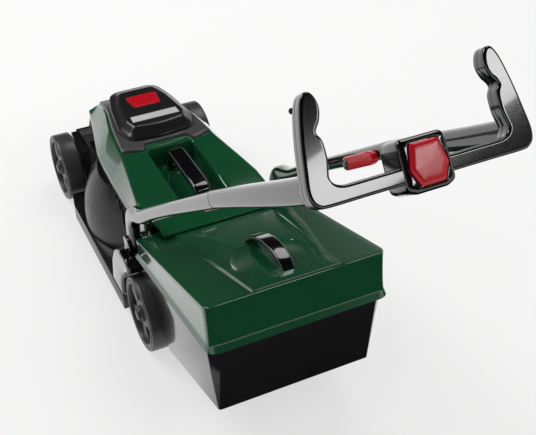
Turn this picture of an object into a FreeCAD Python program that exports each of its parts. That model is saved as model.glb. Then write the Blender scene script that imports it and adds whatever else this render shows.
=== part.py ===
import FreeCAD, Part
import math
import os
import Sketcher

# Push lawn mower, toy scale. Millimetres, +Z up, +Y the way it is pushed, +X the operator's right.
# Heights start at the ground. Lengths are measured from the rear axle, which stands at rearAxleY.

DRIVING = {
    "rearAxleY": 9,
    "wheelbase": 386, "wheelRadius": 54, "wheelWidth": 29, "trackOuter": 254, "rimRing": 8,
    "hubRadius": 12, "webThick": 8, "spokeHalf": 6, "axleRadius": 3, "axleFit": 0.08, "capRadius": 8,
    "capThick": 4, "running": 0.4, "wall": 3, "screwRadius": 2.5,
    "deckHalf": 130, "skirtLow": 15, "skirtTop": 40, "domeRadius": 127, "domeCentre": 226,
    "domeTop": 132, "coreHalf": 84, "coreTop": 144, "coreAhead": 10, "noseAhead": 38,
    "taperStart": 288, "taperShelf": 332, "taperLow": 101, "taperHigh": 126, "taperHalf": 62,
    "hoodRear": 36, "hoodTop": 180, "hoodRim": 150, "hoodRimHalf": 94.4,
    "shoulderRear": 72, "shoulderMid": 65, "shoulderFront": 52, "shoulderNose": 46,
    "trenchHalf": 34, "trenchRear": 46, "trenchFront": 182, "trenchFloor": 152,
    "coverRise": 4, "coverRear": 198, "capRise": 20, "capRear": 228, "capFront": 345, "capHalf": 45,
    "accentHalf": 21, "accentRear": 279, "accentLong": 40, "labelHalf": 37, "labelRear": 236,
    "labelLong": 21, "trimThick": 2,
    "barHalf": 12, "barRear": 56, "barFront": 176, "barTop": 191, "barThick": 12,
    "pivotY": 52, "pivotRise": 80, "pinRadius": 3.5, "knuckle": 13, "legCentre": 107, "legHalf": 8,
    "earThick": 3.5, "guardGap": 6, "guardInner": 94,
    "armSlope": 38.3, "armY": -204, "armZ": 373, "armHalf": 9, "elbowAlong": -290, "seamAlong": 46,
    "seamCentre": 99.5, "gripCentre": 94, "elbowTall": 30, "seamTall": 20, "gripTall": 26,
    "loopRear": 293, "loopThick": 20, "loopLow": -25, "barHigh": -11, "hornTip": 67,
    "boxHalf": 23, "boxLow": -35, "boxHigh": 10, "boxFront": 262, "boxRear": 296,
    "buttonRadius": 16, "buttonProud": 4, "buttonTravel": 3, "springRadius": 5,
    "leverLong": 68, "leverHalf": 8, "leverThick": 8, "leverPivot": -33,
    "lidRearY": -229, "lidRearZ": 252, "lidFrontY": 21, "lidFrontZ": 167, "lidHalf": 115,
    "lipRearY": -240, "lipRearZ": 189, "lipFrontZ": 140, "lipHalf": 118, "lidCorner": 14,
    "panelRearHalf": 57, "panelFrontHalf": 74, "panelRise": 3,
    "tubHalf": 114.4, "tubLowY": -224, "tubLowZ": 77, "tubFloorY": -88, "tubFloorZ": 60, "tubFrontY": 18,
    "archGap": 13, "tubWall": 2.5, "mouthHalf": 74,
    "strapHalf": 9, "strapThick": 5, "strapRear": -206, "strapFront": -90, "strapRise": 22,
    "flapThick": 3, "flapHalf": 88,
}


class Size:
    # A number from the sheet, kept together with the expression that binds it there.
    def __init__(self, value, text):
        self.value = float(value)
        self.text = text

    def __add__(self, other):
        other = asSize(other)
        return Size(self.value + other.value, "(%s + %s)" % (self.text, other.text))

    def __sub__(self, other):
        other = asSize(other)
        return Size(self.value - other.value, "(%s - %s)" % (self.text, other.text))

    def __mul__(self, other):
        other = asSize(other)
        return Size(self.value * other.value, "(%s * %s)" % (self.text, other.text))

    def __truediv__(self, other):
        other = asSize(other)
        return Size(self.value / other.value, "(%s / %s)" % (self.text, other.text))

    def __neg__(self):
        return self * -1

    __radd__ = __add__
    __rmul__ = __mul__

    def __rsub__(self, other):
        return asSize(other) - self


def asSize(value):
    return value if isinstance(value, Size) else Size(value, "(%.9g)" % value)


class Sheet:
    # The driving sizes, by name.
    def __init__(self, document, values):
        self.values = values
        self.table = document.addObject("Spreadsheet::Sheet", "Sizes")
        for row, (name, value) in enumerate(values.items(), 1):
            self.table.set("A%d" % row, name)
            self.table.set("B%d" % row, str(value))
            self.table.setAlias("B%d" % row, name)

    def __getattr__(self, name):
        return Size(self.values[name], "Sizes." + name)


doc = FreeCAD.newDocument("PushMower")
s = Sheet(doc, DRIVING)
doc.recompute()
noseFront = s.wheelbase + s.noseAhead
coreFront = s.wheelbase + s.coreAhead
capTop = s.hoodTop + s.capRise
pivotZ = s.wheelRadius + s.pivotRise
pieces = []
ownY = {}


def bind(thing, prop, size):
    thing.setExpression(prop, asSize(size).text)


# --- sketches -------------------------------------------------------------------------------------

def pinPoint(sketch, geometry, corner, point):
    for kind, size in zip(("DistanceX", "DistanceY"), point):
        size = asSize(size)
        index = sketch.addConstraint(Sketcher.Constraint(kind, -1, 1, geometry, corner, size.value))
        bind(sketch, "Constraints[%d]" % index, size)


def drawLoop(sketch, points):
    places = [FreeCAD.Vector(asSize(u).value, asSize(v).value, 0) for u, v in points]
    count = len(places)
    first = sketch.GeometryCount
    for i in range(count):
        sketch.addGeometry(Part.LineSegment(places[i], places[(i + 1) % count]), False)
    for i in range(count):
        sketch.addConstraint(Sketcher.Constraint("Coincident", first + i, 2, first + (i + 1) % count, 1))
    for i, point in enumerate(points):
        pinPoint(sketch, first + i, 1, point)


def drawCircle(sketch, centre, radius):
    radius = asSize(radius)
    place = FreeCAD.Vector(asSize(centre[0]).value, asSize(centre[1]).value, 0)
    geometry = sketch.addGeometry(Part.Circle(place, FreeCAD.Vector(0, 0, 1), radius.value), False)
    pinPoint(sketch, geometry, 3, centre)
    index = sketch.addConstraint(Sketcher.Constraint("Radius", geometry, radius.value))
    bind(sketch, "Constraints[%d]" % index, radius)


def drawAll(sketch, loops):
    for loop in loops:
        if isinstance(loop, tuple):
            drawCircle(sketch, *loop)
        else:
            drawLoop(sketch, loop)


# --- bodies ---------------------------------------------------------------------------------------

def newBody(label):
    body = doc.addObject("PartDesign::Body", label)
    body.Label = label
    return body


def sketchOn(body, role, loops, level):
    # XZ_Plane looks along -Y, so a level along +Y is negative there.
    base = [o for o in body.Origin.OriginFeatures if o.Role == role][0]
    sketch = body.newObject("Sketcher::SketchObject", body.Label + "_sketch")
    sketch.AttachmentSupport = [(base, "")]
    sketch.MapMode = "FlatFace"
    bind(sketch, "AttachmentOffset.Base.z", -asSize(level) if role == "XZ_Plane" else level)
    drawAll(sketch, loops)
    return sketch


def volumeOf(body):
    return 0 if body.Shape.isNull() else body.Shape.Volume


def extrude(body, role, loops, low, high, remove=False):
    # A pad or pocket from one level to another, symmetric about its sketch.
    low, high = asSize(low), asSize(high)
    sketch = sketchOn(body, role, loops, (low + high) / 2)
    before = volumeOf(body)
    kind = "Pocket" if remove else "Pad"
    feature = body.newObject("PartDesign::" + kind, "%s_%s" % (body.Label, kind))
    feature.Profile = sketch
    feature.SideType = "Symmetric"
    bind(feature, "Length", high - low)
    doc.recompute()
    if (volumeOf(body) < before) != remove:
        raise RuntimeError("%s: %s changed nothing" % (body.Label, feature.Name))
    return feature


def revolve(body, loops, level, remove=False):
    # A turn about the upright axis at x = 0, y = level.
    sketch = sketchOn(body, "XZ_Plane", loops, level)
    before = volumeOf(body)
    kind = "Groove" if remove else "Revolution"
    feature = body.newObject("PartDesign::" + kind, "%s_%s" % (body.Label, kind))
    feature.Profile = sketch
    feature.ReferenceAxis = (sketch, ["V_Axis"])
    feature.Angle = 360
    doc.recompute()
    if (volumeOf(body) < before) != remove:
        raise RuntimeError("%s: %s changed nothing" % (body.Label, feature.Name))
    return feature


# --- lofts, primitives and booleans -----------------------------------------------------------------

def freeSketch(points, y, z, tilt):
    # A sketch whose own x runs along X, turned about X by tilt degrees and set at y, z.
    sketch = doc.addObject("Sketcher::SketchObject", "Section")
    sketch.Placement.Rotation = FreeCAD.Rotation(FreeCAD.Vector(1, 0, 0), asSize(tilt).value)
    bind(sketch, "Placement.Rotation.Angle", tilt)
    bind(sketch, "Placement.Base.y", y)
    bind(sketch, "Placement.Base.z", z)
    drawLoop(sketch, points)
    return sketch


def loft(sections):
    solid = doc.addObject("Part::Loft", "Loft")
    solid.Sections = sections
    solid.Solid = True
    solid.Ruled = True
    return solid


def subtract(base, tool):
    cut = doc.addObject("Part::Cut", "Cut")
    cut.Base = base
    cut.Tool = tool
    return cut


def join(shapes):
    fuse = doc.addObject("Part::MultiFuse", "Fuse")
    fuse.Shapes = shapes
    fuse.Refine = True
    return fuse


def block(low, high):
    box = doc.addObject("Part::Box", "Block")
    for prop, axis, a, b in zip(("Length", "Width", "Height"), "xyz", low, high):
        bind(box, prop, asSize(b) - a)
        bind(box, "Placement.Base." + axis, a)
    ownY[box.Name] = low[1]
    return box


def rod(radius, low, high, y, z):
    # A cylinder along X.
    cylinder = doc.addObject("Part::Cylinder", "Rod")
    cylinder.Placement.Rotation = FreeCAD.Rotation(FreeCAD.Vector(0, 1, 0), 90)
    bind(cylinder, "Radius", radius)
    bind(cylinder, "Height", asSize(high) - low)
    for axis, size in zip("xyz", (low, y, z)):
        bind(cylinder, "Placement.Base." + axis, size)
    ownY[cylinder.Name] = y
    return cylinder


def group(shapes):
    # Identical loose pieces that share one node.
    compound = doc.addObject("Part::Compound", "Group")
    compound.Links = shapes
    return compound


def finish(label, piece, onHandle=False):
    # Gives the piece its name and stands it in the frame of the whole mower.
    piece.Label = label
    if onHandle:
        piece.Placement.Rotation = FreeCAD.Rotation(FreeCAD.Vector(1, 0, 0), 90 - s.armSlope.value)
        bind(piece, "Placement.Rotation.Angle", 90 - s.armSlope)
        bind(piece, "Placement.Base.y", s.rearAxleY + s.armY)
        bind(piece, "Placement.Base.z", s.armZ)
    else:
        bind(piece, "Placement.Base.y", s.rearAxleY + ownY.get(piece.Name, 0))
    pieces.append(piece)


def mirrored(half):
    # Closes a right half outline, listed from the bottom up, with its left half.
    return half + [(-asSize(u), v) for u, v in reversed(half)]


# --- chassis --------------------------------------------------------------------------------------

def deckPlan(inset):
    # Flange outline: wide round the blade, narrow between both pairs of wheels.
    wide = s.deckHalf - inset
    narrow = s.guardInner - s.running - inset
    front = s.wheelbase - s.wheelRadius - s.guardGap - inset
    rear = s.wheelRadius + s.guardGap + inset
    end = -s.wheelRadius + 10 + inset
    nose = noseFront - inset
    half = [(narrow, end), (narrow, rear), (wide, rear), (wide, front - 30), (wide - 6, front),
            (narrow, front), (narrow, nose)]
    return mirrored(half)


def domeProfile(inset):
    radius = s.domeRadius - inset
    top = s.domeTop - inset
    low = s.skirtTop - 4
    return [(0, low), (radius, low), (radius, s.skirtTop + 22), (radius - 4, s.skirtTop + 46),
            (radius - 13, s.skirtTop + 70), (radius - 27, top), (0, top)]


def coreProfile(inset):
    # The box under the hood, seen from the side.
    back = -s.wheelRadius + 10 + inset
    top = s.coreTop - inset
    low = s.skirtTop - 4
    shelf = s.wheelRadius + 62 - inset
    front = s.lidFrontY + 4 + inset
    return [(back, low), (back, s.wheelRadius + 30 - inset), (inset - 30, s.wheelRadius + 52 - inset),
            (inset - 12, shelf), (front, shelf), (front, top), (s.wheelbase - 40, top),
            (coreFront - inset, s.domeTop - inset),
            (noseFront - inset, s.wheelRadius + 30 - inset), (noseFront - inset, low)]


def taperCorner(deck, side):
    # Cuts the front corner of the box under the hood to the hood's taper, and closes it with a wall.
    out = s.coreHalf + 16
    ahead = noseFront + 2
    shelf = s.coreHalf - 9
    tip = coreFront - 1

    def flat(points):
        return [[(side * u, v) for u, v in points]]
    extrude(deck, "XY_Plane", flat([(s.coreHalf, s.taperStart), (s.taperHalf, tip), (s.taperHalf, ahead),
                                    (out, ahead), (out, s.taperStart)]), s.taperHigh, s.coreTop + 1, True)
    extrude(deck, "XY_Plane", flat([(shelf, s.taperShelf), (s.taperHalf, tip), (s.taperHalf, ahead),
                                    (out, ahead), (out, s.taperShelf)]), s.taperLow, s.taperHigh, True)
    inner = s.coreHalf - s.wall - 1
    extrude(deck, "XY_Plane", flat([(s.coreHalf, s.taperStart), (s.taperHalf, tip), (s.taperHalf - s.wall, tip - 1),
                                    (inner, s.taperStart - 1)]), s.taperHigh - 1, s.coreTop - 1)
    extrude(deck, "XY_Plane", flat([(shelf, s.taperShelf), (s.taperHalf, tip), (s.taperHalf - s.wall, tip - 1),
                                    (shelf - s.wall, s.taperShelf)]), s.taperLow - 1, s.taperHigh)
    extrude(deck, "XY_Plane", flat([(inner, s.taperStart), (s.coreHalf, s.taperStart), (s.coreHalf, s.taperShelf),
                                    (shelf - s.wall, s.taperShelf)]), s.taperHigh - s.wall, s.taperHigh)
    extrude(deck, "XY_Plane", flat([(shelf - s.wall, s.taperShelf - s.wall), (s.coreHalf, s.taperShelf - s.wall),
                                    (s.coreHalf, s.taperShelf), (shelf - s.wall, s.taperShelf)]),
            s.taperLow - 1, s.taperHigh)


def deckShell():
    deck = newBody("deck_shell")
    extrude(deck, "XY_Plane", [deckPlan(0)], s.skirtLow, s.skirtTop)
    revolve(deck, [domeProfile(0)], s.domeCentre)
    extrude(deck, "YZ_Plane", [coreProfile(0)], -s.coreHalf, s.coreHalf)
    noseLow = s.skirtTop - 4
    noseRear = s.wheelbase - s.wheelRadius + 12
    nose = [(noseRear, noseLow), (noseRear, s.wheelRadius + 46), (noseFront - 14, s.wheelRadius + 46),
            (noseFront, noseLow + 20), (noseFront, noseLow)]
    beam = s.guardInner - s.running
    extrude(deck, "YZ_Plane", [nose], -beam, beam)
    extrude(deck, "XY_Plane", [deckPlan(s.wall)], s.skirtLow - 1, s.skirtTop - s.wall, True)
    inside = [(0, s.skirtTop - 3.5), (s.domeRadius - s.wall, s.skirtTop - 3.5)] + domeProfile(s.wall)[2:]
    revolve(deck, [inside], s.domeCentre, True)
    half = s.coreHalf - s.wall
    extrude(deck, "YZ_Plane", [coreProfile(s.wall)], -half, half, True)
    chute = [(-s.mouthHalf, s.skirtTop + 16), (s.mouthHalf, s.skirtTop + 16),
             (s.mouthHalf, s.wheelRadius + 42), (-s.mouthHalf, s.wheelRadius + 42)]
    extrude(deck, "XZ_Plane", [chute], -s.wheelRadius + 5, -s.wheelRadius + 32, True)
    for side in (-1, 1):
        taperCorner(deck, side)
    bore = s.axleRadius + s.axleFit
    holes = [((0, s.wheelRadius), bore), ((s.wheelbase, s.wheelRadius), bore)]
    extrude(deck, "YZ_Plane", holes, -s.deckHalf, s.deckHalf, True)
    finish("deck_shell", deck)


def bracketProfile(inset):
    # Mudguard seen from the side: its top runs over the wheel from the front to the grass box.
    arch = s.wheelRadius + s.guardGap
    axle = s.wheelRadius
    lip = s.skirtTop
    outer = [(arch + 46 - inset, lip + inset), (arch + 38 - inset, axle + 28),
             (arch + 22 - inset, axle + 56 - inset), (arch - 2 - inset * 0.5, axle + 72 - inset),
             (s.pivotY - 20, axle + 74 - inset), (s.tubFrontY + 1, axle + 72 - inset)]
    inner = []
    for step in range(6):
        angle = math.radians(71 - step * 16)
        reach = arch + inset
        inner.append((reach * math.cos(angle), axle + reach * math.sin(angle)))
    return outer + inner[:-1] + [(arch + inset, lip + inset)]


def rearBracket(side, word):
    # Glossy bracket on each side of the deck: mudguard, with two ears for the handle pivot.
    label = "rear_bracket_" + word
    bracket = newBody(label)
    ends = sorted((side * s.guardInner, side * s.deckHalf), key=lambda size: size.value)
    extrude(bracket, "YZ_Plane", [bracketProfile(0)], *ends)
    slot = s.legHalf + s.running
    for face in (-1, 1):
        near = side * s.legCentre + face * slot
        far = side * s.legCentre + face * (slot + s.earThick)
        levels = sorted((near, far), key=lambda size: size.value)
        ear = [(s.pivotY + s.knuckle, pivotZ - 16), (s.pivotY + s.knuckle, pivotZ + 4),
               (s.pivotY + 7, pivotZ + s.knuckle), (s.pivotY - 7, pivotZ + s.knuckle),
               (s.pivotY - s.knuckle, pivotZ + 4), (s.pivotY - s.knuckle, pivotZ - 16)]
        extrude(bracket, "YZ_Plane", [ear], *levels)
    notch = [(s.pivotY - s.knuckle - 3, pivotZ - s.knuckle - s.running),
             (s.pivotY + s.knuckle + 30, pivotZ - s.knuckle - s.running),
             (s.pivotY + s.knuckle + 30, pivotZ + 30), (s.pivotY - s.knuckle - 3, pivotZ + 30)]
    extrude(bracket, "YZ_Plane", [notch], side * s.legCentre - slot, side * s.legCentre + slot, True)
    bore = [((s.pivotY, pivotZ), s.pinRadius + s.axleFit)]
    reach = slot + s.earThick + 1
    extrude(bracket, "YZ_Plane", bore, side * s.legCentre - reach, side * s.legCentre + reach, True)
    finish(label, bracket)


def hoodSections(grow, floor):
    # Width and height of the green hood at stations along its length: top half, top, rim half, rim.
    stations = [(s.hoodRear, s.hoodRimHalf - 2, s.hoodTop - 6, s.hoodRimHalf, s.hoodRim),
                (s.hoodRear + 45, s.hoodRimHalf - 3, s.hoodTop - 1, s.hoodRimHalf, s.hoodRim),
                (s.coverRear - 8, s.shoulderRear, s.hoodTop, s.hoodRimHalf, s.hoodRim),
                (s.coverRear + 64, s.shoulderMid, s.hoodTop - 2, s.hoodRimHalf - 3, s.hoodRim - 2),
                (s.wheelbase - 56, s.shoulderFront, s.hoodTop - 8, s.hoodRimHalf - 18, s.hoodRim - 4),
                (s.wheelbase + 8, s.shoulderNose, s.hoodTop - 30, s.hoodRimHalf - 31, s.hoodRim - 8)]
    made = []
    for y, topHalf, top, rimHalf, rim in stations:
        outline = mirrored([(rimHalf + grow, floor), (rimHalf + grow, rim), (topHalf + grow, top + grow)])
        made.append((y, outline))
    return made


def hoodLoft(grow, floor, rear, front, first=0):
    stations = hoodSections(grow, floor)[first:]
    sections = []
    for index, (y, outline) in enumerate(stations):
        shift = rear if index == 0 else (front if index == len(stations) - 1 else 0)
        sections.append(freeSketch(outline, y + shift, 0, 90))
    return loft(sections)


def hoodShell():
    rimCut = s.coreTop
    outer = hoodLoft(0, rimCut - 8, 0, 0)
    inner = hoodLoft(-s.wall, rimCut - 9, s.wall, -s.wall)
    shell = subtract(outer, inner)
    half = s.trenchHalf + s.wall
    tray = block((-half, s.trenchRear - s.wall, s.trenchFloor - s.wall),
                 (half, s.trenchFront + s.wall, s.hoodTop - 6))
    room = block((-s.trenchHalf, s.trenchRear, s.trenchFloor), (s.trenchHalf, s.trenchFront, s.hoodTop + 20))
    hood = subtract(join([shell, tray]), room)
    slope = doc.addObject("Part::Box", "CoreClearance")
    finish("hood_shell", trimmedByCore(hood, slope))


def trimmedByCore(piece, slope):
    # The hood rests on the deck's top, so nothing of it may reach down into the core.
    fit = s.coreHalf + s.running
    bind(slope, "Length", fit * 2)
    bind(slope, "Width", noseFront + 40)
    bind(slope, "Height", s.coreTop)
    bind(slope, "Placement.Base.x", -fit)
    bind(slope, "Placement.Base.y", -20)
    return subtract(piece, slope)


def motorCover():
    # Satin grey base that wraps the front of the hood, and the raised cap on it.
    sections = []
    seats = []
    for index, (y, outline) in enumerate(hoodSections(0, s.hoodRim)[2:]):
        edge, top = outline[2]
        level = y + (8 if index == 0 else 0)
        plate = mirrored([(edge - 1, s.hoodRim - 34), (edge - 3, top + s.coverRise)])
        sections.append(freeSketch(plate, level, 0, 90))
        wide = mirrored([(edge + 30, s.hoodRim - 60), (edge + 30, top + s.coverRise + 0.05)])
        seats.append(freeSketch(wide, level, 0, 90))
    bare = hoodLoft(0.1, s.hoodRim - 40, 0, 0, 1)
    finish("motor_cover_base", subtract(loft(sections), bare))

    def ring(reach, y0, y1, half):
        corner = 16
        return mirrored([(half - corner, y0 - reach), (half + reach, y0 + corner),
                         (half + reach - 8, y1 - corner), (half - corner - 12, y1 + reach)])

    def dome(inset):
        half = s.capHalf - inset
        rear, front = s.capRear + inset, s.capFront - inset
        levels = ((12, s.hoodTop - 22), (12, s.hoodTop + 5), (0, capTop - inset * 1.4))
        return loft([freeSketch(ring(reach, rear, front, half), 0, z, 0) for reach, z in levels])
    solid = subtract(subtract(dome(0), loft(seats)), dome(s.wall))
    seat = capTop - s.trimThick
    accentHole = block((-s.accentHalf, s.accentRear, seat),
                       (s.accentHalf, s.accentRear + s.accentLong, capTop + 5))
    labelHole = block((-s.labelHalf, s.labelRear, seat), (s.labelHalf, s.labelRear + s.labelLong, capTop + 5))
    finish("motor_cap", subtract(subtract(solid, accentHole), labelHole))
    gap = 0.2
    top = capTop + 0.6
    finish("cap_accent_panel", block((-s.accentHalf + gap, s.accentRear + gap, seat),
                                     (s.accentHalf - gap, s.accentRear + s.accentLong - gap, top + 0.8)))
    finish("cap_blank_plate", block((-s.labelHalf + gap, s.labelRear + gap, seat),
                                    (s.labelHalf - gap, s.labelRear + s.labelLong - gap, top)))


def carryHandle():
    bar = newBody("carry_handle")
    low, top = s.trenchFloor, s.barTop
    outer = [(s.barRear, low), (s.barFront, low), (s.barFront - 2, top - 8), (s.barFront - 12, top),
             (s.barRear + 12, top), (s.barRear + 2, top - 8)]
    extrude(bar, "YZ_Plane", [outer], -s.barHalf, s.barHalf)
    foot = 16
    under = top - s.barThick
    inner = [(s.barRear + foot, low - 1), (s.barFront - foot, low - 1), (s.barFront - foot - 6, under),
             (s.barRear + foot + 6, under)]
    extrude(bar, "YZ_Plane", [inner], -s.barHalf - 1, s.barHalf + 1, True)
    finish("carry_handle", bar)


def hoodScrews():
    # Screws that hold the hood, with their heads under the deck's top.
    made = []
    for y in (s.hoodRear + 26, s.coverRear + 30):
        for x in (-74, 74):
            made.append(upright(s.screwRadius, x, y, s.coreTop - 12, s.coreTop - s.wall))
    finish("hood_screws", group(made))


def upright(radius, x, y, low, high):
    cylinder = doc.addObject("Part::Cylinder", "Upright")
    bind(cylinder, "Radius", radius)
    bind(cylinder, "Height", asSize(high) - low)
    for axis, size in zip("xyz", (x, y, low)):
        bind(cylinder, "Placement.Base." + axis, size)
    return cylinder


def clicker():
    # Toothed wheel on the rear axle and the tongue that it flicks, for the rattling sound.
    teeth = 12
    outline = []
    for step in range(2 * teeth):
        angle = math.pi * step / teeth
        reach = asSize(17 if step % 2 else 13)
        outline.append((reach * math.cos(angle), s.wheelRadius + reach * math.sin(angle)))
    wheel = newBody("click_wheel")
    extrude(wheel, "YZ_Plane", [outline], -64, -58)
    extrude(wheel, "YZ_Plane", [((0, s.wheelRadius), s.axleRadius)], -65, -57, True)
    finish("click_wheel", wheel)
    tongue = newBody("click_tongue")
    tip = 17 + s.running
    strip = [(-3, s.wheelRadius + tip), (3, s.wheelRadius + tip), (s.hoodRear + 32, s.coreTop - 12),
             (s.hoodRear + 32, s.coreTop - s.wall), (s.hoodRear + 22, s.coreTop - s.wall),
             (s.hoodRear + 22, s.coreTop - 12)]
    extrude(tongue, "YZ_Plane", [strip], -64, -58)
    finish("click_tongue", tongue)


# --- wheels ---------------------------------------------------------------------------------------

def wheel(label, side, y, bore):
    # Five spokes between a raised rim ring and a round hub.
    outer = side * s.trackOuter / 2
    inner = side * (s.trackOuter / 2 - s.wheelWidth)
    body = newBody(label)
    centre = (y, s.wheelRadius)
    levels = sorted((outer, inner), key=lambda size: size.value)
    extrude(body, "YZ_Plane", [(centre, s.wheelRadius), (centre, bore)], *levels)
    rim = s.wheelRadius - s.rimRing
    for face, depth in ((outer, 5), (inner, s.wheelWidth - s.webThick - 5)):
        inward = -side if face is outer else side
        levels = sorted((face - inward, face + inward * depth), key=lambda size: size.value)
        extrude(body, "YZ_Plane", [(centre, rim), (centre, s.hubRadius)], *levels, True)
    windows = []
    spoke = s.spokeHalf
    for step in range(5):
        turn = math.radians(180 - 72 * step)
        along = (math.cos(turn), math.sin(turn))
        across = (-along[1], along[0])
        corners = ((s.hubRadius + 7, 0.42), (rim - 3, 0.42))
        window = []
        for (reach, spread), sign in zip((corners[0], corners[1], corners[1], corners[0]), (-1, -1, 1, 1)):
            half = (reach * spread - spoke * 0.12) * sign
            window.append((centre[0] + reach * along[0] + half * across[0],
                           centre[1] + reach * along[1] + half * across[1]))
        windows.append(window)
    levels = sorted((outer - side * 4, outer - side * (6 + s.webThick)), key=lambda size: size.value)
    extrude(body, "YZ_Plane", windows, *levels, True)
    finish(label, body)


def wheelSet():
    running = s.axleRadius + s.axleFit
    tip = s.trackOuter / 2 - 1
    for word, side in (("left", -1), ("right", 1)):
        wheel("wheel_front_" + word, side, s.wheelbase, running)
        wheel("wheel_rear_" + word, side, 0, s.axleRadius + 0.02)
    for word, y in (("front", s.wheelbase), ("rear", 0)):
        finish(word + "_axle", rod(s.axleRadius, -tip, tip, y, s.wheelRadius))
        for name, side in (("left", -1), ("right", 1)):
            ends = sorted((side * s.trackOuter / 2, side * (s.trackOuter / 2 + s.capThick - 1)),
                          key=lambda size: size.value)
            finish("hub_cap_%s_%s" % (word, name), rod(s.capRadius, *ends, y, s.wheelRadius))


# --- rear flap and grass box ------------------------------------------------------------------------

def rearFlap():
    hinge = (s.hoodRear - 5.5, s.hoodTop - 8)
    flap = newBody("rear_flap")
    lidSlope = (s.lidRearZ - s.lidFrontZ) / (s.lidFrontY - s.lidRearY)
    rearY = s.lidFrontY - 32
    rest = s.lidFrontZ + lidSlope * 32 + s.panelRise + 1
    plate = [(rearY, rest), (hinge[0] - 5, hinge[1] + 1.5), (hinge[0], hinge[1] + 5),
             (hinge[0], hinge[1] + 5 + s.flapThick), (rearY, rest + s.flapThick)]
    extrude(flap, "YZ_Plane", [plate], -s.flapHalf + 4, s.flapHalf - 4)
    extrude(flap, "YZ_Plane", [(hinge, 5)], -s.flapHalf + 4, s.flapHalf - 4)
    extrude(flap, "YZ_Plane", [(hinge, 2 + s.axleFit)], -s.flapHalf, s.flapHalf, True)
    finish("rear_flap", flap)
    finish("flap_hinge_rod", rod(2, -s.flapHalf - 1, s.flapHalf + 1, *hinge))
    ears = []
    for side in (-1, 1):
        ends = sorted((side * (s.flapHalf - 3), side * (s.flapHalf + 1)), key=lambda size: size.value)
        ear = block((ends[0], hinge[0] - 5, s.coreTop), (ends[1], s.hoodRear, hinge[1] + 5))
        ears.append(subtract(ear, rod(2, -s.flapHalf - 2, s.flapHalf + 2, *hinge)))
    finish("flap_hinge_ears", group(ears))


def tubProfile(inset, lift):
    rise = (s.lipRearZ - s.lipFrontZ) / (s.tubFrontY - s.lipRearY)
    top = s.lipFrontZ + 4
    back = s.lipRearY + 4 + inset
    arch = s.wheelRadius + s.archGap + inset
    points = [(back, top + rise * (s.tubFrontY - back) + lift), (s.tubLowY + inset, s.tubLowZ + inset),
              (s.tubFloorY, s.tubFloorZ + inset)]
    for step in range(5):
        angle = math.radians(168 - step * 19)
        points.append((arch * math.cos(angle), s.wheelRadius + arch * math.sin(angle)))
    points += [(s.tubFrontY - inset, s.wheelRadius + arch), (s.tubFrontY - inset, top + lift)]
    return points


def tubPlan(inset):
    half = s.tubHalf - inset
    back, front = s.lipRearY + 4 + inset, s.tubFrontY - inset
    corner = s.lidCorner
    return mirrored([(half - corner, back), (half, back + corner), (half, front - corner),
                     (half - corner, front)])


def tubSolid(inset, lift):
    # The side profile and the plan of the grass box, each drawn out straight, where they meet.
    side = newBody("TubSide")
    extrude(side, "YZ_Plane", [tubProfile(inset, lift)], -s.tubHalf - 1, s.tubHalf + 1)
    plan = newBody("TubPlan")
    extrude(plan, "XY_Plane", [tubPlan(inset)], s.tubFloorZ - 1, s.lidRearZ + 10)
    both = doc.addObject("Part::Common", "Common")
    both.Base = side
    both.Tool = plan
    return both


def grassBoxTub():
    shell = subtract(tubSolid(0, 0), tubSolid(s.tubWall, 30))
    mouth = block((-s.mouthHalf, -s.wheelRadius - 24, s.wheelRadius + 18),
                  (s.mouthHalf, -s.wheelRadius + 42, s.wheelRadius + 52))
    finish("grass_box_tub", subtract(shell, mouth))


def lidLoft(inset, drop):
    # From the flared lip up to the sloping top, both cut across at the corners.
    def outline(half, long):
        corner = s.lidCorner
        side = half - inset
        return mirrored([(side - corner, inset), (side, corner), (side, long - corner), (side - corner, long - inset)])
    topRun = s.lidFrontY - s.lidRearY
    topFall = s.lidRearZ - s.lidFrontZ
    topTilt = -math.degrees(math.atan2(topFall.value, topRun.value))
    lipRun = s.lidFrontY + 2 - s.lipRearY
    lipFall = s.lipRearZ - s.lipFrontZ
    lipTilt = -math.degrees(math.atan2(lipFall.value, lipRun.value))
    topLong = topRun / math.cos(math.radians(topTilt))
    lipLong = lipRun / math.cos(math.radians(lipTilt))
    low = freeSketch(outline(s.lipHalf, lipLong), s.lipRearY, s.lipRearZ - drop, lipTilt)
    high = freeSketch(outline(s.lidHalf, topLong), s.lidRearY, s.lidRearZ - inset, topTilt)
    return loft([low, high]), topTilt, topLong


def grassBoxLid():
    outer, tilt, long = lidLoft(s.wall * 0, 0)
    inner = lidLoft(s.wall, 1)[0]
    rear = 3
    plan = mirrored([(s.panelRearHalf, rear), (s.panelFrontHalf, long - 6)])
    grown = mirrored([(s.panelRearHalf - 2, rear + 2), (s.panelFrontHalf - 2, long - 8)])
    low = freeSketch(plan, s.lidRearY, s.lidRearZ - 1, tilt)
    high = freeSketch(grown, s.lidRearY, s.lidRearZ + s.panelRise, tilt)
    panel = loft([low, high])
    finish("grass_box_lid", subtract(join([outer, panel]), inner))


def lidStrap():
    # Arched grip over a finger space on the sloping lid.
    slope = (s.lidRearZ - s.lidFrontZ) / (s.lidFrontY - s.lidRearY)

    def above(y, rise):
        return (y, s.lidRearZ + s.panelRise + 0.3 - slope * (y - s.lidRearY) + rise)
    strap = newBody("lid_handle_strap")
    span = s.strapFront - s.strapRear
    top = []
    low = []
    for step in range(9):
        share = step / 8
        bow = math.sin(math.pi * share) ** 0.7 if 0 < share < 1 else 0
        top.append(above(s.strapRear + span * share, s.strapRise * bow + s.strapThick))
        inside = s.strapRear + 7 + (span - 14) * share
        low.append(above(inside, (s.strapRise + 1) * bow))
    feet = [above(s.strapFront, 0)] + list(reversed(low)) + [above(s.strapRear, 0)]
    extrude(strap, "YZ_Plane", [top + feet], -s.strapHalf, s.strapHalf)
    finish("lid_handle_strap", strap)


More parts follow.
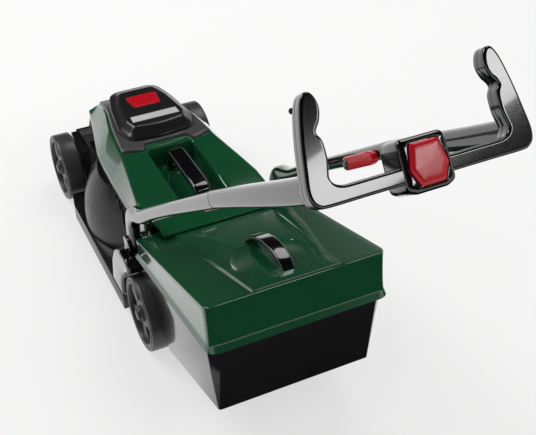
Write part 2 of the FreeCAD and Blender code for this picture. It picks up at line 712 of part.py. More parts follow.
# --- handle ---------------------------------------------------------------------------------------

def armSection(side, centre, tall, along):
    half = s.armHalf
    mid = side * centre
    bevel = 4
    outline = [(mid - half, -tall / 2 + bevel), (mid - half + bevel, -tall / 2), (mid + half - bevel, -tall / 2),
               (mid + half, -tall / 2 + bevel), (mid + half, tall / 2 - bevel), (mid + half - bevel, tall / 2),
               (mid - half + bevel, tall / 2), (mid - half, tall / 2 - bevel)]
    return freeSketch(outline, 0, along, 0)


def lowerArm(side, word):
    # Sloping arm with a leg that turns down into the knuckle on the rear bracket.
    sections = [armSection(side, s.legCentre - 0.5, s.elbowTall, s.elbowAlong),
                armSection(side, s.seamCentre, s.seamTall, s.seamAlong - 0.3)]
    arm = loft(sections)
    arm.Placement.Rotation = FreeCAD.Rotation(FreeCAD.Vector(1, 0, 0), 90 - s.armSlope.value)
    bind(arm, "Placement.Rotation.Angle", 90 - s.armSlope)
    bind(arm, "Placement.Base.y", s.armY)
    bind(arm, "Placement.Base.z", s.armZ)
    leg = newBody("lower_leg_" + word)
    mid = side * s.legCentre
    front = s.pivotY + s.knuckle
    slope = math.tan(math.radians(s.armSlope.value))
    lineZ = s.armZ - (s.pivotY - s.armY) * slope
    profile = [(s.pivotY - s.knuckle, pivotZ), (front, pivotZ), (front, lineZ + 2), (front - 10, lineZ + 18),
               (s.pivotY - 28, lineZ + 48), (s.pivotY - 44, lineZ + 20), (s.pivotY - s.knuckle - 4, lineZ - 6)]
    extrude(leg, "YZ_Plane", [profile], mid - s.legHalf, mid + s.legHalf)
    extrude(leg, "YZ_Plane", [((s.pivotY, pivotZ), s.knuckle)], mid - s.legHalf, mid + s.legHalf)
    arms = join([arm, leg])
    hole = rod(s.pinRadius + s.axleFit, mid - 20, mid + 20, s.pivotY, pivotZ)
    finish("lower_arm_" + word, subtract(arms, hole))
    reach = s.legHalf + s.running + s.earThick + 0.3
    ends = (mid - reach, mid + reach)
    finish("pivot_pin_" + word, rod(s.pinRadius, *ends, s.pivotY, pivotZ))


def upperArm(side, word):
    front = s.loopRear - s.loopThick - 0.3
    sections = [armSection(side, s.seamCentre, s.seamTall, s.seamAlong),
                armSection(side, s.gripCentre, s.gripTall, front)]
    finish("upper_arm_" + word, loft(sections), True)


def gripOutline(side):
    # Half of the crossbar and one horn, as the operator sees them.
    x = s.gripCentre
    inner = s.boxHalf - 4
    points = [(inner, s.loopLow), (x + 3, s.loopLow), (x + 9, s.loopLow + 6), (x + 12, s.barHigh + 4),
              (x + 10, s.hornTip - 42), (x + 4, s.hornTip - 22), (x - 2, s.hornTip - 6), (x - 7, s.hornTip),
              (x - 13, s.hornTip - 3), (x - 18, s.hornTip - 14), (x - 16, s.hornTip - 25),
              (x - 11, s.hornTip - 33), (x - 14, s.hornTip - 39), (x - 14, s.hornTip - 54),
              (x - 11, s.barHigh + 8), (x - 14, s.barHigh + 1), (x - 22, s.barHigh), (inner, s.barHigh)]
    return [(side * u, v) for u, v in points]


def gripShells(side, word):
    middle = s.loopRear - s.loopThick / 2
    for half, low, high in (("front", s.loopRear - s.loopThick, middle), ("rear", middle, s.loopRear)):
        label = "grip_%s_%s_shell" % (word, half)
        shell = newBody(label)
        extrude(shell, "XY_Plane", [gripOutline(side)], low, high)
        finish(label, shell, True)


def gripScrews():
    made = []
    front = s.loopRear - s.loopThick
    for side in (-1, 1):
        places = ((s.gripCentre - 3, s.hornTip - 12), (s.gripCentre - 1, s.hornTip - 40),
                  (s.boxHalf + 12, s.loopLow + 7))
        for x, b in places:
            made.append(upright(s.screwRadius, side * x, b, front - 1.5, front))
    finish("grip_screws", group(made), True)


def switchBox():
    box = newBody("switch_box")
    low, high, half = s.boxLow, s.boxHigh, s.boxHalf
    outline = mirrored([(half - 6, low), (half, low + 6), (half, high - 5), (half - 5, high)])
    coverThick = 3
    extrude(box, "XY_Plane", [outline], s.boxFront + coverThick, s.boxRear)
    inside = mirrored([(half - 3, low + 3), (half - 3, high - 3)])
    extrude(box, "XY_Plane", [inside], s.boxFront, s.boxRear - 3, True)
    gap = 0.2
    sides = [(s.loopLow - gap, s.loopRear - s.loopThick - gap), (s.barHigh + gap, s.loopRear - s.loopThick - gap),
             (s.barHigh + gap, s.loopRear + gap), (s.loopLow - gap, s.loopRear + gap)]
    extrude(box, "YZ_Plane", [sides], -half - 1, half + 1, True)
    centre = (low + high) / 2

    def hexagon(reach):
        flat = reach * 0.5
        return [(reach, centre - flat * 0.4), (reach * 0.72, centre + reach), (-reach * 0.72, centre + reach),
                (-reach, centre - flat * 0.4), (-reach * 0.62, centre - reach), (reach * 0.62, centre - reach)]
    extrude(box, "XY_Plane", [hexagon(s.buttonRadius + 0.4)], s.boxRear - 4, s.boxRear + 1, True)
    finish("switch_box", box, True)
    cover = newBody("switch_box_cover")
    extrude(cover, "XY_Plane", [outline], s.boxFront, s.boxFront + coverThick)
    finish("switch_box_cover", cover, True)
    button = newBody("red_button")
    foot = s.boxRear - 10
    extrude(button, "XY_Plane", [hexagon(s.buttonRadius)], foot, s.boxRear + s.buttonProud)
    finish("red_button", button, True)
    pressed = foot - s.buttonTravel - 0.3
    coil = subtract(upright(s.springRadius, 0, centre, s.boxFront + coverThick, pressed),
                    upright(s.springRadius - 1.2, 0, centre, s.boxFront, s.boxRear))
    finish("button_spring", coil, True)


def clampLever(side, word):
    # Red lever that lies along the inner face of the arm and turns about a pin at its lower end.
    lean = (s.seamCentre - s.legCentre) / (s.seamAlong - s.elbowAlong)
    armFace = s.seamCentre - lean * (s.seamAlong - s.leverPivot) - s.armHalf
    face = armFace - s.running - 1.8
    lever = newBody("clamp_lever_" + word)
    ends = sorted((side * face, side * (face - s.leverThick)), key=lambda size: size.value)
    profile = [(-s.leverHalf, s.leverPivot - 6), (0, s.leverPivot - 10), (s.leverHalf, s.leverPivot - 6),
               (s.leverHalf, s.leverPivot + s.leverLong - 14), (s.leverHalf - 4, s.leverPivot + s.leverLong),
               (-s.leverHalf + 3, s.leverPivot + s.leverLong), (-s.leverHalf, s.leverPivot + s.leverLong - 8)]
    extrude(lever, "YZ_Plane", [profile], *ends)
    extrude(lever, "YZ_Plane", [((0, s.leverPivot), s.pinRadius - 1 + s.axleFit)],
            -s.deckHalf if side < 0 else 0, 0 if side < 0 else s.deckHalf, True)
    finish("clamp_lever_" + word, lever, True)
    outer = sorted((side * (armFace - 0.25), side * (face - s.leverThick - 2)), key=lambda size: size.value)
    pin = rodOnHandle(s.pinRadius - 1, *outer, 0, s.leverPivot)
    finish("clamp_pin_" + word, pin, True)


def rodOnHandle(radius, low, high, y, z):
    # The same rod, wrapped so that the handle's tilt can be its placement.
    return group([rod(radius, low, high, y, z)])


deckShell()
for word, side in (("left", -1), ("right", 1)):
    rearBracket(side, word)
hoodShell()
motorCover()
carryHandle()
hoodScrews()
clicker()
wheelSet()
rearFlap()
grassBoxTub()
grassBoxLid()
lidStrap()
for word, side in (("left", -1), ("right", 1)):
    lowerArm(side, word)
    upperArm(side, word)
    gripShells(side, word)
    clampLever(side, word)
gripScrews()
switchBox()
doc.recompute()

for thing in doc.Objects:
    if "Invalid" in thing.State or "Error" in thing.State:
        raise RuntimeError("%s failed: %s" % (thing.Label, thing.State))
for piece in pieces:
    if piece.Shape.isNull() or not piece.Shape.isValid():
        raise RuntimeError(piece.Label + " has no valid shape")

os.makedirs("parts", exist_ok=True)
whole = FreeCAD.BoundBox()
for piece in pieces:
    piece.Shape.exportStep("parts/%s.step" % piece.Label)
    whole.add(piece.Shape.BoundBox)
print(len(pieces), "pieces, box", whole)
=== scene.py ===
import math
import bmesh
import bpy
from mathutils import Matrix, Vector
from mathutils.geometry import tessellate_polygon


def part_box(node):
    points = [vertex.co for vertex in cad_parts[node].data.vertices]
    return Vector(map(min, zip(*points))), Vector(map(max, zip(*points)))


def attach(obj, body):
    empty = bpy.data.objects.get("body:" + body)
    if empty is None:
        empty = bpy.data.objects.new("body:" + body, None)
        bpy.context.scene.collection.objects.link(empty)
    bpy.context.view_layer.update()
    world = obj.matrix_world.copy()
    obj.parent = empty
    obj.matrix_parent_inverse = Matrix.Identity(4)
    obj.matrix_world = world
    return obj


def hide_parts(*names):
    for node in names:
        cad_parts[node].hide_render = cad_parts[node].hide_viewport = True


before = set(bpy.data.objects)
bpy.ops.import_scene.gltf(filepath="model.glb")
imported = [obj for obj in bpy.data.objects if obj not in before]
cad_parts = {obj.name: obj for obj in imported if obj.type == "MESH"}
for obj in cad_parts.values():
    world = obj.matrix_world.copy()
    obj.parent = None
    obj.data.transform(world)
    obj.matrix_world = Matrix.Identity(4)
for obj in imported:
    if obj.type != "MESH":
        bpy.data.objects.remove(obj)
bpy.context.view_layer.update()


def middleOf(node):
    # the middle of a CAD node's box, in millimetres
    low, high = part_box(node)
    return (Vector(low) + Vector(high)) * 500


def edgesOf(node):
    low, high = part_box(node)
    return Vector(low) * 1000, Vector(high) * 1000


rearAxle = middleOf("rear_axle")


# ---- materials ----

def linear(hexColour):
    # sRGB hex to the linear values that the shader takes
    parts = [int(hexColour[i:i + 2], 16) / 255 for i in (0, 2, 4)]
    return [p / 12.92 if p < 0.04045 else ((p + 0.055) / 1.055) ** 2.4 for p in parts] + [1]


def addNode(tree, kind, settings=None, values=None, links=None):
    # one node, with its settings, its socket values, and what feeds each socket
    node = tree.nodes.new(kind)
    for key, value in (settings or {}).items():
        setattr(node, key, value)
    for key, value in (values or {}).items():
        node.inputs[key].default_value = value
    for key, source in (links or {}).items():
        tree.links.new(source, node.inputs[key])
    return node


def mouldedPlastic(name, hexColour, shade, roughness, grain, coat=0.0):
    # shade: how far the pigment varies; grain: (millimetres between grains, bump height in millimetres)
    material = bpy.data.materials.new(name)
    material.use_nodes = True
    tree = material.node_tree
    tree.nodes.clear()
    place = addNode(tree, "ShaderNodeTexCoord")
    cloud = addNode(tree, "ShaderNodeTexNoise", values={"Scale": 18, "Detail": 3},
                    links={"Vector": place.outputs["Object"]})
    base = linear(hexColour)
    tint = addNode(tree, "ShaderNodeValToRGB", links={"Fac": cloud.outputs["Fac"]})
    tint.color_ramp.elements[0].position = 0.3
    tint.color_ramp.elements[1].position = 0.7
    tint.color_ramp.elements[0].color = [c * (1 - shade) for c in base[:3]] + [1]
    tint.color_ramp.elements[1].color = [c * (1 + shade) for c in base[:3]] + [1]
    wipe = addNode(tree, "ShaderNodeTexNoise", values={"Scale": 45, "Detail": 5, "Roughness": 0.6},
                   links={"Vector": place.outputs["Object"]})
    gloss = addNode(tree, "ShaderNodeMapRange", values={"To Min": roughness * 0.8,
                                                        "To Max": roughness * 1.25},
                    links={"Value": wipe.outputs["Fac"]})
    pitch, height = grain
    fine = addNode(tree, "ShaderNodeTexNoise", values={"Scale": 1000 / pitch, "Detail": 2},
                   links={"Vector": place.outputs["Object"]})
    bump = addNode(tree, "ShaderNodeBump", values={"Strength": 0.5, "Distance": height * 0.001},
                   links={"Height": fine.outputs["Fac"]})
    shader = addNode(tree, "ShaderNodeBsdfPrincipled",
                     values={"IOR": 1.5, "Specular IOR Level": 0.5, "Coat Weight": coat,
                             "Coat Roughness": 0.04},
                     links={"Base Color": tint.outputs["Color"], "Roughness": gloss.outputs["Result"],
                            "Normal": bump.outputs["Normal"]})
    addNode(tree, "ShaderNodeOutputMaterial", links={"Surface": shader.outputs["BSDF"]})
    return material


def platedSteel(name, hexColour, roughness):
    # drawn wire and rod, zinc plated: fine lines along the draw and a soft blur
    material = bpy.data.materials.new(name)
    material.use_nodes = True
    tree = material.node_tree
    tree.nodes.clear()
    place = addNode(tree, "ShaderNodeTexCoord")
    stretch = addNode(tree, "ShaderNodeMapping", values={"Scale": (40, 1500, 1500)},
                      links={"Vector": place.outputs["Object"]})
    lines = addNode(tree, "ShaderNodeTexNoise", values={"Scale": 1, "Detail": 3},
                    links={"Vector": stretch.outputs["Vector"]})
    gloss = addNode(tree, "ShaderNodeMapRange", values={"To Min": roughness * 0.7,
                                                        "To Max": roughness * 1.4},
                    links={"Value": lines.outputs["Fac"]})
    bump = addNode(tree, "ShaderNodeBump", values={"Strength": 0.3, "Distance": 0.00005},
                   links={"Height": lines.outputs["Fac"]})
    shader = addNode(tree, "ShaderNodeBsdfPrincipled",
                     values={"Base Color": linear(hexColour), "Metallic": 1},
                     links={"Roughness": gloss.outputs["Result"], "Normal": bump.outputs["Normal"]})
    addNode(tree, "ShaderNodeOutputMaterial", links={"Surface": shader.outputs["BSDF"]})
    return material


# injection-moulded plastics; each grain is drawn coarser than a real mould's so that it shows
# mirror-like mould face
glossGreen = mouldedPlastic("polished_green_abs", "12482b", 0.05, 0.14, (1.2, 0.004), 1.0)
# near-black, sharp reflections
glossBlack = mouldedPlastic("polished_black_abs", "0b0b0d", 0.08, 0.13, (1.2, 0.004), 1.0)
# fine grain, soft sheen
satinBlack = mouldedPlastic("spark_eroded_black_pp", "0f0f10", 0.08, 0.24, (0.6, 0.006))
# a little less polished
tubBlack = mouldedPlastic("smooth_black_pp", "1d1d1f", 0.08, 0.20, (0.9, 0.006), 0.8)
# warm dark grey, satin
satinGrey = mouldedPlastic("satin_grey_abs", "413f40", 0.06, 0.34, (0.6, 0.012))
capBlack = mouldedPlastic("semi_gloss_black_abs", "1c1c1d", 0.04, 0.24, (0.7, 0.003))       # cap top
# hard wheel plastic
wheelGrey = mouldedPlastic("moulded_grey_pp", "3a3a3c", 0.08, 0.32, (0.7, 0.012))
# bright solid red
glossRed = mouldedPlastic("polished_red_abs", "b8061c", 0.05, 0.22, (1.2, 0.004), 0.1)
# plain blank plate
plateSilver = mouldedPlastic("satin_silver_foil", "b9b9bb", 0.04, 0.32, (0.4, 0.006))
zincSteel = platedSteel("zinc_plated_steel", "b4b6b8", 0.25)
print("materials ready")


# ---- mesh tools; sizes are millimetres ----

def meshPiece(name, points, faces, material, sharpAngle=32):
    mesh = bpy.data.meshes.new(name)
    mesh.from_pydata([Vector(p) * 0.001 for p in points], [], faces)
    work = bmesh.new()
    work.from_mesh(mesh)
    bmesh.ops.remove_doubles(work, verts=work.verts, dist=0.00001)
    bmesh.ops.recalc_face_normals(work, faces=work.faces)
    work.to_mesh(mesh)
    work.free()
    mesh.materials.append(material)
    piece = bpy.data.objects.new(name, mesh)
    bpy.context.scene.collection.objects.link(piece)
    smoothed(mesh, sharpAngle)
    return piece


def smoothed(mesh, sharpAngle):
    for polygon in mesh.polygons:
        polygon.use_smooth = True
    mesh.set_sharp_from_angle(angle=math.radians(sharpAngle))


def baked(piece):
    # the piece with its modifiers made into plain mesh
    bpy.context.view_layer.update()
    evaluated = piece.evaluated_get(bpy.context.evaluated_depsgraph_get())
    mesh = bpy.data.meshes.new_from_object(evaluated)
    piece.modifiers.clear()
    piece.data = mesh
    return piece


def softEdges(piece, width, segments=3, angle=30, sharpAngle=40):
    bevel = piece.modifiers.new("edges", "BEVEL")
    bevel.width = width * 0.001
    bevel.segments = segments
    bevel.limit_method = "ANGLE"
    bevel.angle_limit = math.radians(angle)
    bevel.use_clamp_overlap = True
    baked(piece)
    smoothed(piece.data, sharpAngle)
    return piece


def walled(piece, thickness):
    wall = piece.modifiers.new("wall", "SOLIDIFY")
    wall.thickness = thickness * 0.001
    wall.offset = -1
    return baked(piece)


def settle(piece, body, slot, *nodes):
    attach(piece, body)
    if nodes:
        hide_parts(*nodes)
    return piece


def joined(name, pieces):
    work = bmesh.new()
    for piece in pieces:
        work.from_mesh(piece.data)
    mesh = bpy.data.meshes.new(name)
    work.to_mesh(mesh)
    work.free()
    for material in pieces[0].data.materials:
        mesh.materials.append(material)
    for piece in pieces:
        bpy.data.objects.remove(piece)
    result = bpy.data.objects.new(name, mesh)
    bpy.context.scene.collection.objects.link(result)
    return result


def softCopy(node, material, width, angle=30, shape=None):
    # a CAD node with its edges rounded as a mould would leave them; shape may work on the mesh first
    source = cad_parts[node].data
    work = bmesh.new()
    work.from_mesh(source)
    bmesh.ops.remove_doubles(work, verts=work.verts, dist=0.00001)
    bmesh.ops.dissolve_limit(work, angle_limit=math.radians(1.5), verts=work.verts, edges=work.edges)
    if shape:
        shape(work)
    mesh = bpy.data.meshes.new(node + "_look")
    work.to_mesh(mesh)
    work.free()
    mesh.materials.append(material)
    piece = bpy.data.objects.new(node + "_look", mesh)
    bpy.context.scene.collection.objects.link(piece)
    return softEdges(piece, width, 3, angle)


def roundedOutline(corners, steps=6):
    # corners are (u, v, radius); each becomes a short curve
    outline = []
    count = len(corners)
    for i, (u, v, radius) in enumerate(corners):
        tip = Vector((u, v))
        back = Vector(corners[i - 1][:2]) - tip
        on = Vector(corners[(i + 1) % count][:2]) - tip
        half = max(back.angle(on) / 2, 0.05)
        reach = min(radius / math.tan(half), 0.49 * back.length, 0.49 * on.length)
        start = tip + back.normalized() * reach
        end = tip + on.normalized() * reach
        for step in range(steps + 1):
            t = step / steps
            outline.append(start * (1 - t) ** 2 + tip * 2 * t * (1 - t) + end * t * t)
    return outline


def splineOutline(points, steps=6):
    # closed smooth curve through the points; a point given twice makes a sharp corner
    outline = []
    count = len(points)
    for i in range(count):
        a, b, c, d = (Vector(points[(i + k) % count]) for k in (-1, 0, 1, 2))
        if (c - b).length < 1e-6:
            outline.append(b)
            continue
        for step in range(steps):
            t = step / steps
            outline.append(0.5 * (2 * b + (c - a) * t + (2 * a - 5 * b + 4 * c - d) * t * t
                                  + (3 * b - a - 3 * c + d) * t ** 3))
    return outline


def turnOf(outline):
    area = sum(a.x * b.y - b.x * a.y for a, b in zip(outline, outline[1:] + outline[:1]))
    return 1 if area > 0 else -1


def inset(outline, distance):
    side = turnOf(outline)
    count = len(outline)
    moved = []
    for i in range(count):
        along = outline[(i + 1) % count] - outline[i - 1]
        if along.length < 1e-6:
            moved.append(outline[i])
            continue
        along.normalize()
        moved.append(outline[i] + Vector((-along.y, along.x)) * distance * side)
    return moved


def roundLevels(low, high, lowRadius, highRadius, steps=4):
    # (inset, height) pairs of a slab whose two rims are rounded
    levels = []
    for step in range(steps + 1):
        turn = math.pi / 2 * step / steps
        levels.append((lowRadius * (1 - math.sin(turn)), low + lowRadius * (1 - math.cos(turn))))
    for step in range(steps + 1):
        turn = math.pi / 2 * step / steps
        levels.append((highRadius * (1 - math.cos(turn)), high - highRadius * (1 - math.sin(turn))))
    return levels


def ringMesh(rings, closed=True, caps=True):
    count = len(rings[0])
    points = [p for ring in rings for p in ring]
    faces = []
    for k in range(len(rings) - 1):
        for i in range(count if closed else count - 1):
            a = k * count + i
            b = k * count + (i + 1) % count
            faces.append((a, b, b + count, a + count))
    if caps:
        faces.append(tuple(reversed(range(count))))
        faces.append(tuple(range((len(rings) - 1) * count, len(rings) * count)))
    return points, faces


def slab(name, outline, levels, place, material, sharpAngle=32):
    # both ends are filled with triangles worked out on the flat outline
    flats = [inset(outline, depth) for depth, height in levels]
    rings = [[place(p.x, p.y, level[1]) for p in flat] for flat, level in zip(flats, levels)]
    points, faces = ringMesh(rings, True, False)
    last = (len(rings) - 1) * len(outline)
    for flat, base in ((flats[0], 0), (flats[-1], last)):
        for triangle in tessellate_polygon([[p.to_3d() for p in flat]]):
            faces.append(tuple(base + i for i in triangle))
    return meshPiece(name, points, faces, material, sharpAngle)


def upright(u, v, w):
    return Vector((u, v, w))


def sideways(u, v, w):
    # outline in the side view, thickness along X
    return Vector((w, u, v))


def splined(keys, steps):
    # smooth in-between values through a list of number tuples
    result = []
    for i in range(len(keys) - 1):
        a, b, c, d = (keys[max(0, min(len(keys) - 1, j))] for j in (i - 1, i, i + 1, i + 2))
        for step in range(steps):
            t = step / steps
            result.append(tuple(0.5 * (2 * q + (r - p) * t + (2 * p - 5 * q + 4 * r - s) * t * t
                                       + (3 * q - p - 3 * r + s) * t ** 3) for p, q, r,
                                       s in zip(a, b, c, d)))
    result.append(tuple(keys[-1]))
    return result


def swept(name, keys, steps, corner, material):
    # keys are (x, y, z, half width along X, half height across the path) in the side plane
    path = splined(keys, steps)
    rings = []
    for i, (x, y, z, wide, tall) in enumerate(path):
        before, after = path[max(0, i - 1)], path[min(len(path) - 1, i + 1)]
        along = Vector((0, after[1] - before[1], after[2] - before[2])).normalized()
        up = Vector((1, 0, 0)).cross(along)
        r = min(corner, wide * 0.95, tall * 0.95)
        section = roundedOutline([(wide, -tall, r), (wide, tall, r), (-wide, tall, r), (-wide, -tall, r)], 5)
        rings.append([Vector((x, y, z)) + Vector((1, 0, 0)) * p.x + up * p.y for p in section])
    return meshPiece(name, *ringMesh(rings), material, 40)


def lathed(name, profile, centre, count, material, axis="x", sharpAngle=32):
    # profile is (radius, level) points of a closed section, turned about X or Z
    rings = []
    for step in range(count):
        turn = 2 * math.pi * step / count
        c, s = math.cos(turn), math.sin(turn)
        if axis == "x":
            rings.append([centre + Vector((level, r * c, r * s)) for r, level in profile])
        else:
            rings.append([centre + Vector((r * c, r * s, level)) for r, level in profile])
    rings.append(rings[0])
    points, faces = ringMesh(rings, True, False)
    return meshPiece(name, points, faces, material, sharpAngle)


def repeatTree():
    # copies of a piece: each one stepped by Step and turned about X by Turn from the last
    tree = bpy.data.node_groups.new("repeat_copies", "GeometryNodeTree")
    tree.is_modifier = True
    face = tree.interface
    face.new_socket("Geometry", in_out="INPUT", socket_type="NodeSocketGeometry")
    face.new_socket("Count", in_out="INPUT", socket_type="NodeSocketInt")
    face.new_socket("Step", in_out="INPUT", socket_type="NodeSocketVector")
    face.new_socket("Turn", in_out="INPUT", socket_type="NodeSocketFloat")
    face.new_socket("Finish", in_out="INPUT", socket_type="NodeSocketMaterial")
    face.new_socket("Geometry", in_out="OUTPUT", socket_type="NodeSocketGeometry")
    given = addNode(tree, "NodeGroupInput")
    index = addNode(tree, "GeometryNodeInputIndex")
    offset = addNode(tree, "ShaderNodeVectorMath", {"operation": "SCALE"},
                     links={0: given.outputs["Step"], "Scale": index.outputs[0]})
    angle = addNode(tree, "ShaderNodeMath", {"operation": "MULTIPLY"},
                    links={0: given.outputs["Turn"], 1: index.outputs[0]})
    euler = addNode(tree, "ShaderNodeCombineXYZ", links={"X": angle.outputs[0]})
    turn = addNode(tree, "FunctionNodeEulerToRotation", links={0: euler.outputs[0]})
    dots = addNode(tree, "GeometryNodePoints", links={"Count": given.outputs["Count"],
                                                      "Position": offset.outputs[0]})
    copies = addNode(tree, "GeometryNodeInstanceOnPoints",
                     links={"Points": dots.outputs[0], "Instance": given.outputs["Geometry"],
                            "Rotation": turn.outputs[0]})
    real = addNode(tree, "GeometryNodeRealizeInstances", links={0: copies.outputs[0]})
    painted = addNode(tree, "GeometryNodeSetMaterial",
                      links={"Geometry": real.outputs[0], "Material": given.outputs["Finish"]})
    addNode(tree, "NodeGroupOutput", links={0: painted.outputs[0]})
    return tree


copyTree = repeatTree()


def repeated(piece, count, step, turn, material):
    # sets the tree's inputs by identifier, then bakes the copies
    modifier = piece.modifiers.new("copies", "NODES")
    modifier.node_group = copyTree
    values = {"Count": count, "Step": [v * 0.001 for v in step], "Turn": turn, "Finish": material}
    for item in copyTree.interface.items_tree:
        if item.in_out == "INPUT" and item.name in values:
            modifier[item.identifier] = values[item.name]
    baked(piece)
    smoothed(piece.data, 32)
    return piece


# ---- wheels ----

wheelSizes = {"radius": 54, "width": 29, "groove": 48.5, "ringIn": 42.5, "spokeCount": 5,
              "hub": 12, "plate": 19, "faceDepth": 4.5, "webThick": 8, "spokeHub": 6.5, "spokeRim": 12.5}


def wheelPiece(label, side, body, capNode):
    w = wheelSizes
    low, high = edgesOf(label)
    centre = Vector((side * (high.x if side > 0 else -low.x), (low.y + high.y) / 2, (low.z + high.z) / 2))
    inward = -side
    r, ring = w["radius"], w["ringIn"]

    def section(points):
        return [(radius, inward * depth) for radius, depth in points]
    tyre = section([(ring, 3), (ring + 0.8, 0.9), (ring + 1.6, 0.3), (w["groove"] - 1, 0),
                    (w["groove"] - 0.3, 0.8),
                    (w["groove"] + 0.4, 1.5), (w["groove"] + 1.2, 0.8), (r - 2.6, 0.5), (r - 1.2, 1),
                    (r - 0.3, 2.2),
                    (r, 4), (r, 14), (r, 25), (r - 0.3, 27), (r - 1.4, 28.4), (r - 3, w["width"]),
                    (ring + 0.6, w["width"]), (ring, w["width"] - 1)])
    parts = [lathed(label + "_tyre", tyre, Vector(), 96, wheelGrey)]
    d = w["faceDepth"]
    plate = section([(4, d - 3), (w["hub"] - 1, d - 3), (w["hub"], d - 2), (w["hub"] + 0.3, d),
                     (w["plate"], d),
                     (w["plate"] + 1, d + 1), (w["plate"] + 1, d + w["webThick"]), (4, d + w["webThick"])])
    parts.append(lathed(label + "_plate", plate, Vector(), 64, wheelGrey))
    barrel = section([(4, d + w["webThick"]), (9, d + w["webThick"]), (9, w["width"]), (4, w["width"])])
    parts.append(lathed(label + "_barrel", barrel, Vector(), 40, wheelGrey))
    inner, outer = w["plate"] - 2, ring + 1
    outline = roundedOutline([(inner, -w["spokeHub"], 0.5), (outer, -w["spokeRim"], 0.5),
                              (outer, w["spokeRim"], 0.5),
                              (inner, w["spokeHub"], 0.5)], 2)
    spoke = slab(label + "_spoke", outline, roundLevels(0, w["webThick"], 0.4, 1.2, 3),
                 lambda u, v, h: Vector((inward * (d + w["webThick"] - h), u, v)), wheelGrey)
    parts.append(repeated(spoke, w["spokeCount"], (0, 0, 0), 2 * math.pi / w["spokeCount"], wheelGrey))
    piece = joined(label + "_look", parts)
    turn = Matrix.Rotation(math.pi / 5, 4, "X")
    piece.data.transform(Matrix.Translation(centre * 0.001) @ turn)
    smoothed(piece.data, 32)
    settle(piece, body, "wheel_moulding", label)
    hubCap(label, centre, side, body, capNode)


def hubCap(label, centre, side, body, capNode):
    # round cap with a raised arc round two thirds of it
    low, high = edgesOf(capNode)
    out = high.x - low.x
    profile = [(0.01, out), (4, out), (6.5, out * 0.9), (7.6, out * 0.55), (8, 0.1), (0.01, 0.1)]
    cap = lathed(label + "_cap", [(r, side * h) for r, h in profile], centre, 40, wheelGrey)
    arc = []
    for step in range(25):
        turn = math.radians(-120 + 240 * step / 24)
        arc.append((centre.x + side * 0.1, centre.y - side * 10.2 * math.cos(turn),
                    centre.z + 10.2 * math.sin(turn)))
    rings = []
    for x, y, z in arc:
        ray = Vector((0, y - centre.y, z - centre.z)).normalized()
        ring = []
        for step in range(8):
            turn = 2 * math.pi * step / 8
            ring.append(Vector((x - side * 1.2 + 1.2 * math.cos(turn), y, z)) + ray * 1.1 * math.sin(turn))
        rings.append(ring)
    slit = meshPiece(label + "_arc", *ringMesh(rings), wheelGrey)
    settle(joined(label + "_hub_look", [cap, slit]), body, "wheel_moulding", capNode)


for word, side in (("left", -1), ("right", 1)):
    wheelPiece("wheel_front_" + word, side, "front_wheel_" + word, "hub_cap_front_" + word)
    wheelPiece("wheel_rear_" + word, side, "rear_wheel_set", "hub_cap_rear_" + word)
print("wheels ready")


# ---- deck and brackets ----

deckSizes = {"edge": 1.6, "finSide": 84.5, "finLow": 60, "finHigh": 134,
             "finCount": 7, "finStep": 13, "finFirst": 96, "finThick": 2.8, "finReach": 9}


def deckPieces():
    d = deckSizes
    deck = softCopy("deck_shell", satinBlack, d["edge"])
    settle(deck, "chassis", "black_moulding", "deck_shell")
    for side in (-1, 1):
        # upright cooling fins on the wall between the round housing and the hood
        x = side * d["finSide"]
        y = rearAxle.y + d["finFirst"]
        outline = roundedOutline([(y, d["finLow"], 0.5), (y + d["finThick"], d["finLow"], 0.5),
                                  (y + d["finThick"], d["finHigh"], 0.5), (y, d["finHigh"], 0.5)], 2)
        ends = sorted((x - side, x + side * d["finReach"]))
        fin = slab("fins", outline, [(0, ends[0]), (0, ends[1])], sideways, satinBlack)
        fins = repeated(fin, d["finCount"], (0, d["finStep"], 0), 0, satinBlack)
        fins.name = "deck_fins_" + ("left" if side < 0 else "right")
        settle(fins, "chassis", "black_moulding")


def bracketPieces(side, word):
    # glossy mudguard over the rear wheel with the knuckle that carries the handle
    label = "rear_bracket_" + word
    low, high = edgesOf(label)
    axle = Vector((rearAxle.y, rearAxle.z))
    arch = 60
    corners = [(high.y, low.z, 2), (high.y - 8, axle.y + 28, 20), (axle.x + arch + 22, axle.y + 56, 26),
               (axle.x + arch - 4, axle.y + 72, 18), (axle.x + 32, axle.y + 74, 10), (low.y, axle.y + 70, 3)]
    arc = []
    for step in range(19):
        turn = math.radians(71 - step * (71 + 8) / 18)
        arc.append((axle.x + arch * math.cos(turn), axle.y + arch * math.sin(turn)))
    arc = [(y, z, 0.5) for y, z in arc if z > low.z] + [(axle.x + arch, low.z, 1)]
    outline = roundedOutline(corners + arc, 4)
    ends = (low.x, high.x)
    rounds = (4, 0.5) if side < 0 else (0.5, 4)
    guard = slab(label + "_guard", outline, roundLevels(*ends, *rounds, 5), sideways, glossBlack)
    pivot = middleOf("pivot_pin_" + word)
    parts = [guard]
    for face in (-1, 1):
        x = side * 107 + face * 8.4
        ends = sorted((x, x + face * 3.5))
        knuckle = roundedOutline([(pivot.y + 13, pivot.z - 16, 1), (pivot.y + 13, pivot.z + 13, 12.5),
                                  (pivot.y - 13, pivot.z + 13, 12.5), (pivot.y - 13, pivot.z - 16, 1)], 10)
        parts.append(slab(label + "_ear", knuckle, roundLevels(*ends, 0.8, 0.8, 3), sideways, glossBlack))
    piece = joined(label + "_look", parts)
    smoothed(piece.data, 35)
    settle(piece, "chassis", "gloss_black_moulding", label)


deckPieces()
for word, side in (("left", -1), ("right", 1)):
    bracketPieces(side, word)
print("deck ready")


# ---- hood, cover and cap ----

